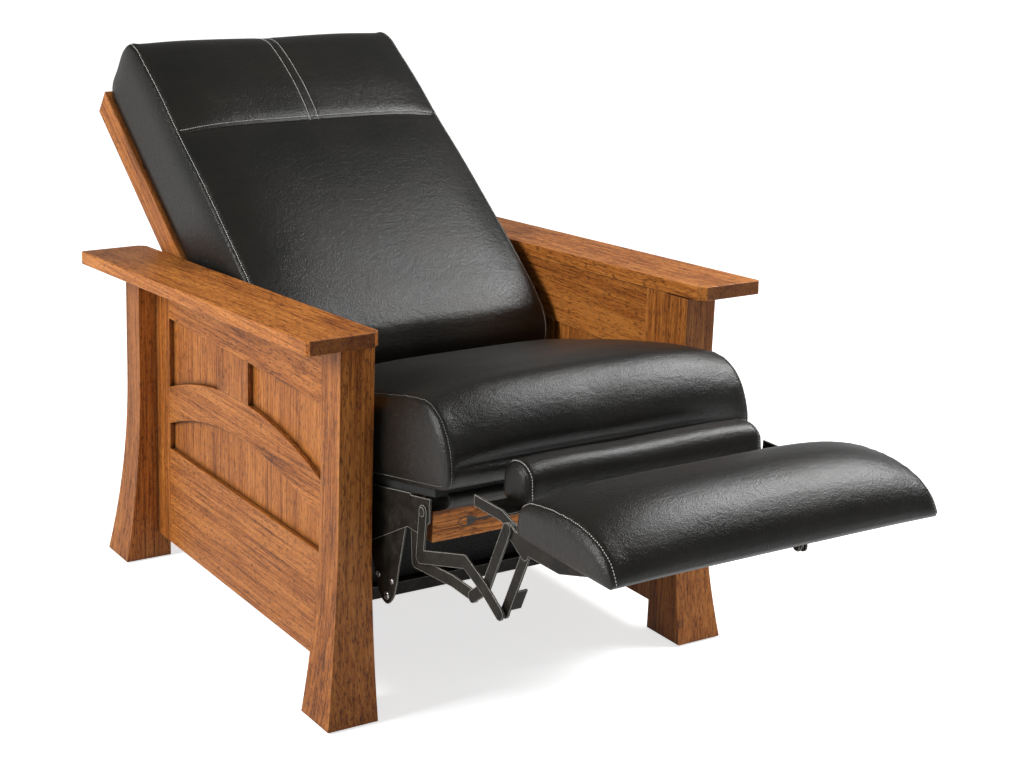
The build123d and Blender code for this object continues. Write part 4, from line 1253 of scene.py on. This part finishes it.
@dataclass
class SeatLug:
    """Stop plate on the inside of a seat plate, and its bolts.

    The ring places are X and how far the outline is drawn in there. A bolt is
    its Y, Z and radius, and its cap is rows of X and the share of the radius.
    """

    knots: tuple = ((-326, 350), (-314, 300), (-305, 262), (-300, 236), (-288, 208), (-272, 196),
                    (-253, 201), (-238, 226), (-222, 262), (-206, 300), (-200, 330))
    rings: tuple = ((285.15, 0.8), (284.6, 0.0), (283.0, 0.0), (282.45, 0.8))
    bolts: tuple = ((-273.0, 211.0, 7.0), (-288.0, 240.0, 5.0), (-246.0, 238.0, 5.0))
    cap_shares: tuple = ((285.0, 1.0), (286.4, 1.0), (287.3, 0.86), (287.9, 0.5), (288.1, 0.1))
    steps: int = 8
    round_points: int = 24

    def build(self, side: str, sign: float, coat: bpy.types.Material,
              bright: bpy.types.Material) -> None:
        """Make the plate and its bolts on one side.

        The plate is its outline carried across X through four rings, the outer two
        drawn in by the edge's radius. A bolt's rings follow a quarter of an ellipse.

        Args:
            side: Left or right.
            sign: Minus one on the left, one on the right.
            coat: Finish of the plate.
            bright: Finish of the bolts.
        """
        sharp = np.zeros(len(self.knots), bool)
        sharp[[0, -1]] = True
        loop = smooth_loop(np.array(self.knots, float), sharp, self.steps)
        middle = loop.mean(axis=0)
        away = (loop - middle) / np.linalg.norm(loop - middle, axis=1)[:, None]
        rings = [np.column_stack([np.full(len(loop), sign * x), loop - away * inset])
                 for x, inset in self.rings]
        plate = mesh_piece(f"seat_lug_{side}", np.concatenate(rings),
                           tube_faces(len(rings), len(loop)), smooth=False)
        bolts = self.bolt_heads(side, sign)
        for piece, finish, slot in ((plate, coat, Slot.STEEL), (bolts, bright, Slot.BRIGHT)):
            outward(piece)
            piece.data.materials.append(finish)
            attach(piece, "seat")
            log.info("%s: %d faces", piece.name, len(piece.data.polygons))

    def bolt_heads(self, side: str, sign: float) -> bpy.types.Object:
        """Make every bolt's head, as rings round its middle.

        Args:
            side: Left or right.
            sign: Minus one on the left, one on the right.

        Returns:
            One piece with all heads.
        """
        turn = np.linspace(0.0, 2.0 * math.pi, self.round_points, endpoint=False)
        caps = [np.column_stack([np.full(self.round_points, sign * x), y + radius * share * np.cos(turn),
                                 z + radius * share * np.sin(turn)])
                for y, z, radius in self.bolts for x, share in self.cap_shares]
        count = len(self.cap_shares) * self.round_points
        faces = [[point + number * count for point in face] for number in range(len(self.bolts))
                 for face in tube_faces(len(self.cap_shares), self.round_points)]
        return mesh_piece(f"lug_bolts_{side}", np.concatenate(caps), faces)


@dataclass
class DustScreen:
    """Board behind the front cross angle that keeps dust out, slightly slack."""

    half_width: float = 236.0
    low: float = 146.0
    high: float = 276.0
    front: float = -119.0
    thickness: float = 4.0
    slack: float = 3.0
    grid: tuple = (40, 12)

    def build(self, liner: bpy.types.Material) -> None:
        """Make the board on the standing frame.

        The front and back face lie a thickness apart. Both bow back by the slack
        times the product of two parabolas.

        Args:
            liner: Its cover.
        """
        rows, columns = self.grid
        x, z = np.meshgrid(np.linspace(-self.half_width, self.half_width, rows),
                           np.linspace(self.low, self.high, columns), indexing="ij")
        middle, half = (self.low + self.high) / 2, (self.high - self.low) / 2
        bow = self.slack * (1 - (x / self.half_width) ** 2) * (1 - ((z - middle) / half) ** 2)
        front, back = (np.stack([x, self.front + depth + bow, z], -1) for depth in (0.0, self.thickness))
        loop = np.concatenate([front, back[:, ::-1]], axis=1)
        piece = mesh_piece("dust_screen", loop.reshape(-1, 3), tube_faces(rows, 2 * columns), smooth=False)
        outward(piece)
        piece.data.materials.append(liner)
        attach(piece, "chair_frame")
        log.info("dust_screen: %d faces", len(piece.data.polygons))


@dataclass
class Hardware:
    """Steel linkage, slides, screws, glides and inner boards from the CAD, with lugs and screen."""

    inner: tuple = ("deck_rail",)
    lined: tuple = ("seat_deck", "footrest_board", "mid_board")
    nylon: tuple = ("floor_glides", "seat_glides")
    bright: tuple = ("base_screws",)
    inlaid: tuple = ("rail_inlays",)
    painted: tuple = ("seat_plate", "front_link", "rear_link", "outer_link", "inner_link",
                      "footrest_bracket", "mid_bracket", "back_bracket", "base_rail", "cross_angle")
    lug: SeatLug = field(default_factory=SeatLug)
    screen: DustScreen = field(default_factory=DustScreen)

    def dress(self, nodes: dict) -> None:
        """Give each remaining node its metal, nylon or board, and add the lugs and the screen.

        Args:
            nodes: The CAD objects by name.
        """
        board, nylon = PlainWoodFinish().material(), NylonFinish().material()
        bright = SteelFinish("screw_steel", (0.30, 0.30, 0.31), (0.45, 0.45, 0.46),
                             (0.6, 0.6, 0.6), 1.0, 0.28).material()
        painted = SteelFinish("painted_steel").material()
        inlay = InlayFinish().material()
        liner = LinerFinish().material()
        self.screen.build(liner)
        for side, sign in SIDES:
            self.lug.build(side, sign, painted, bright)
        for names, material in ((self.inner, board), (self.lined, liner), (self.nylon, nylon),
                                (self.bright, bright), (self.inlaid, inlay), (self.painted, painted)):
            for name in named(nodes, names):
                paint(nodes[name], material)
                log.info("%s: %s", name, material.name)


@dataclass(frozen=True)
class Lamp:
    """A soft rectangular lamp: where it hangs, its size in metres and its watts."""

    name: str
    spot: tuple
    size: tuple
    power: float
    target: tuple = (0.0, 0.0, 0.5)

    def hang(self) -> None:
        """Add the lamp to the scene, facing its target."""
        data = bpy.data.lights.new(self.name, "AREA")
        data.shape, data.size, data.size_y, data.energy = "RECTANGLE", *self.size, self.power
        lamp = bpy.data.objects.new(self.name, data)
        bpy.context.scene.collection.objects.link(lamp)
        lamp.location = Vector(self.spot)
        lamp.rotation_mode = "QUATERNION"
        lamp.rotation_quaternion = (Vector(self.target) - Vector(self.spot)).to_track_quat("-Z", "Y")


@dataclass
class Studio:
    """Pale floor, soft lamps, white surroundings and the photograph's camera."""

    eye: tuple = (-1746.94, -2739.2, 1426.36)
    azimuth: float = -31.1664
    pitch: float = 14.6954
    roll: float = 1.2726
    lens: float = 68.449
    shift: tuple = (0.10, -0.07)
    floor_half: float = 14000.0
    fill: float = 0.20
    sweep: tuple = (0.0, 0.24, 0.6, 0.0)
    mirrored: float = 0.4
    glow: tuple = (0.7, 2.4, 0.70, 1.0)
    lamps: tuple = (Lamp("left", (-3.1, 0.2, 2.0), (0.9, 1.4), 104.0),
                    Lamp("right", (1.7, -0.5, 2.25), (0.7, 1.3), 64.0, (0.0, -0.25, 0.5)),
                    Lamp("front", (-0.8, -4.2, 2.2), (1.8, 1.0), 9.0))

    def camera(self) -> None:
        """Stand the camera where the photograph was taken from."""
        data = bpy.data.cameras.new("camera")
        data.lens, data.sensor_width = self.lens, 36.0
        data.shift_x, data.shift_y = self.shift
        data.clip_start, data.clip_end = 0.05, 60.0
        eye = bpy.data.objects.new("camera", data)
        bpy.context.scene.collection.objects.link(eye)
        a, e, r = (math.radians(v) for v in (self.azimuth, self.pitch, self.roll))
        back = np.array([math.sin(a) * math.cos(e), -math.cos(a) * math.cos(e), math.sin(e)])
        right = np.array([math.cos(a), math.sin(a), 0.0])
        up = np.cross(back, right)
        turned = math.cos(r) * right + math.sin(r) * up
        raised = math.cos(r) * up - math.sin(r) * right
        matrix = np.eye(4)
        matrix[:3, 0], matrix[:3, 1], matrix[:3, 2] = turned, raised, back
        matrix[:3, 3] = np.array(self.eye) * MM
        eye.matrix_world = Matrix(matrix.tolist())
        bpy.context.scene.camera = eye

    def world(self) -> None:
        """Even pale surroundings: plain white where seen, and a low bright band in mirrors."""
        world = bpy.data.worlds.new("studio")
        bpy.context.scene.world = world
        world.use_nodes = True
        w = Tree(world.node_tree)
        back = w.tree.nodes["Background"]
        back.inputs[0].default_value = (1.0, 1.0, 1.0, 1.0)
        where = w.node("TexCoord", {}).outputs["Generated"]
        height = w.node("SeparateXYZ", {0: where}).outputs["Z"]
        seen = w.seen(w.span(height, *self.sweep))
        w.feed(back.inputs[1], w.span(seen, 0.0, 1.0, self.fill, 1.0))

    def floor(self) -> None:
        """Pale floor that keeps the chair's shadow and fades to white around it."""
        half = self.floor_half
        points = np.array([(-half, -half, 0.0), (half, -half, 0.0), (half, half, 0.0), (-half, half, 0.0)])
        piece = mesh_piece("floor", points, [[0, 1, 2, 3]])
        w = Wiring("floor")
        speck = w.noise(w.place(), 3.0, 3.0)
        w.dress(Base_Color=w.ramp(speck, (0.0, 0.80), (1.0, 0.84)), Roughness=0.9,
                Specular_IOR_Level=0.0, Emission_Color=(1.0, 1.0, 1.0, 1.0))
        away = w.node("VectorMath", {0: w.place()}, operation="LENGTH").outputs["Value"]
        glow = w.sum("MULTIPLY", w.seen(self.mirrored), w.span(away, *self.glow))
        w.feed(w.shader.inputs["Emission Strength"], glow)
        piece.data.materials.append(w.material)

    def build(self) -> None:
        """Set floor, surroundings, lamps and camera."""
        bpy.context.scene.view_settings.view_transform = "Standard"
        self.floor()
        self.world()
        for lamp in self.lamps:
            lamp.hang()
        self.camera()
        log.info("studio set")


def main() -> None:
    """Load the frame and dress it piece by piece."""
    logging.basicConfig(level=logging.INFO, format="%(message)s")
    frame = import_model()
    nodes = dict(frame["nodes"])
    Joinery().dress(nodes)
    Hardware().dress(nodes)
    Upholstery().build()
    Studio().build()
    bpy.context.view_layer.update()


if __name__ == "__main__":
    main()
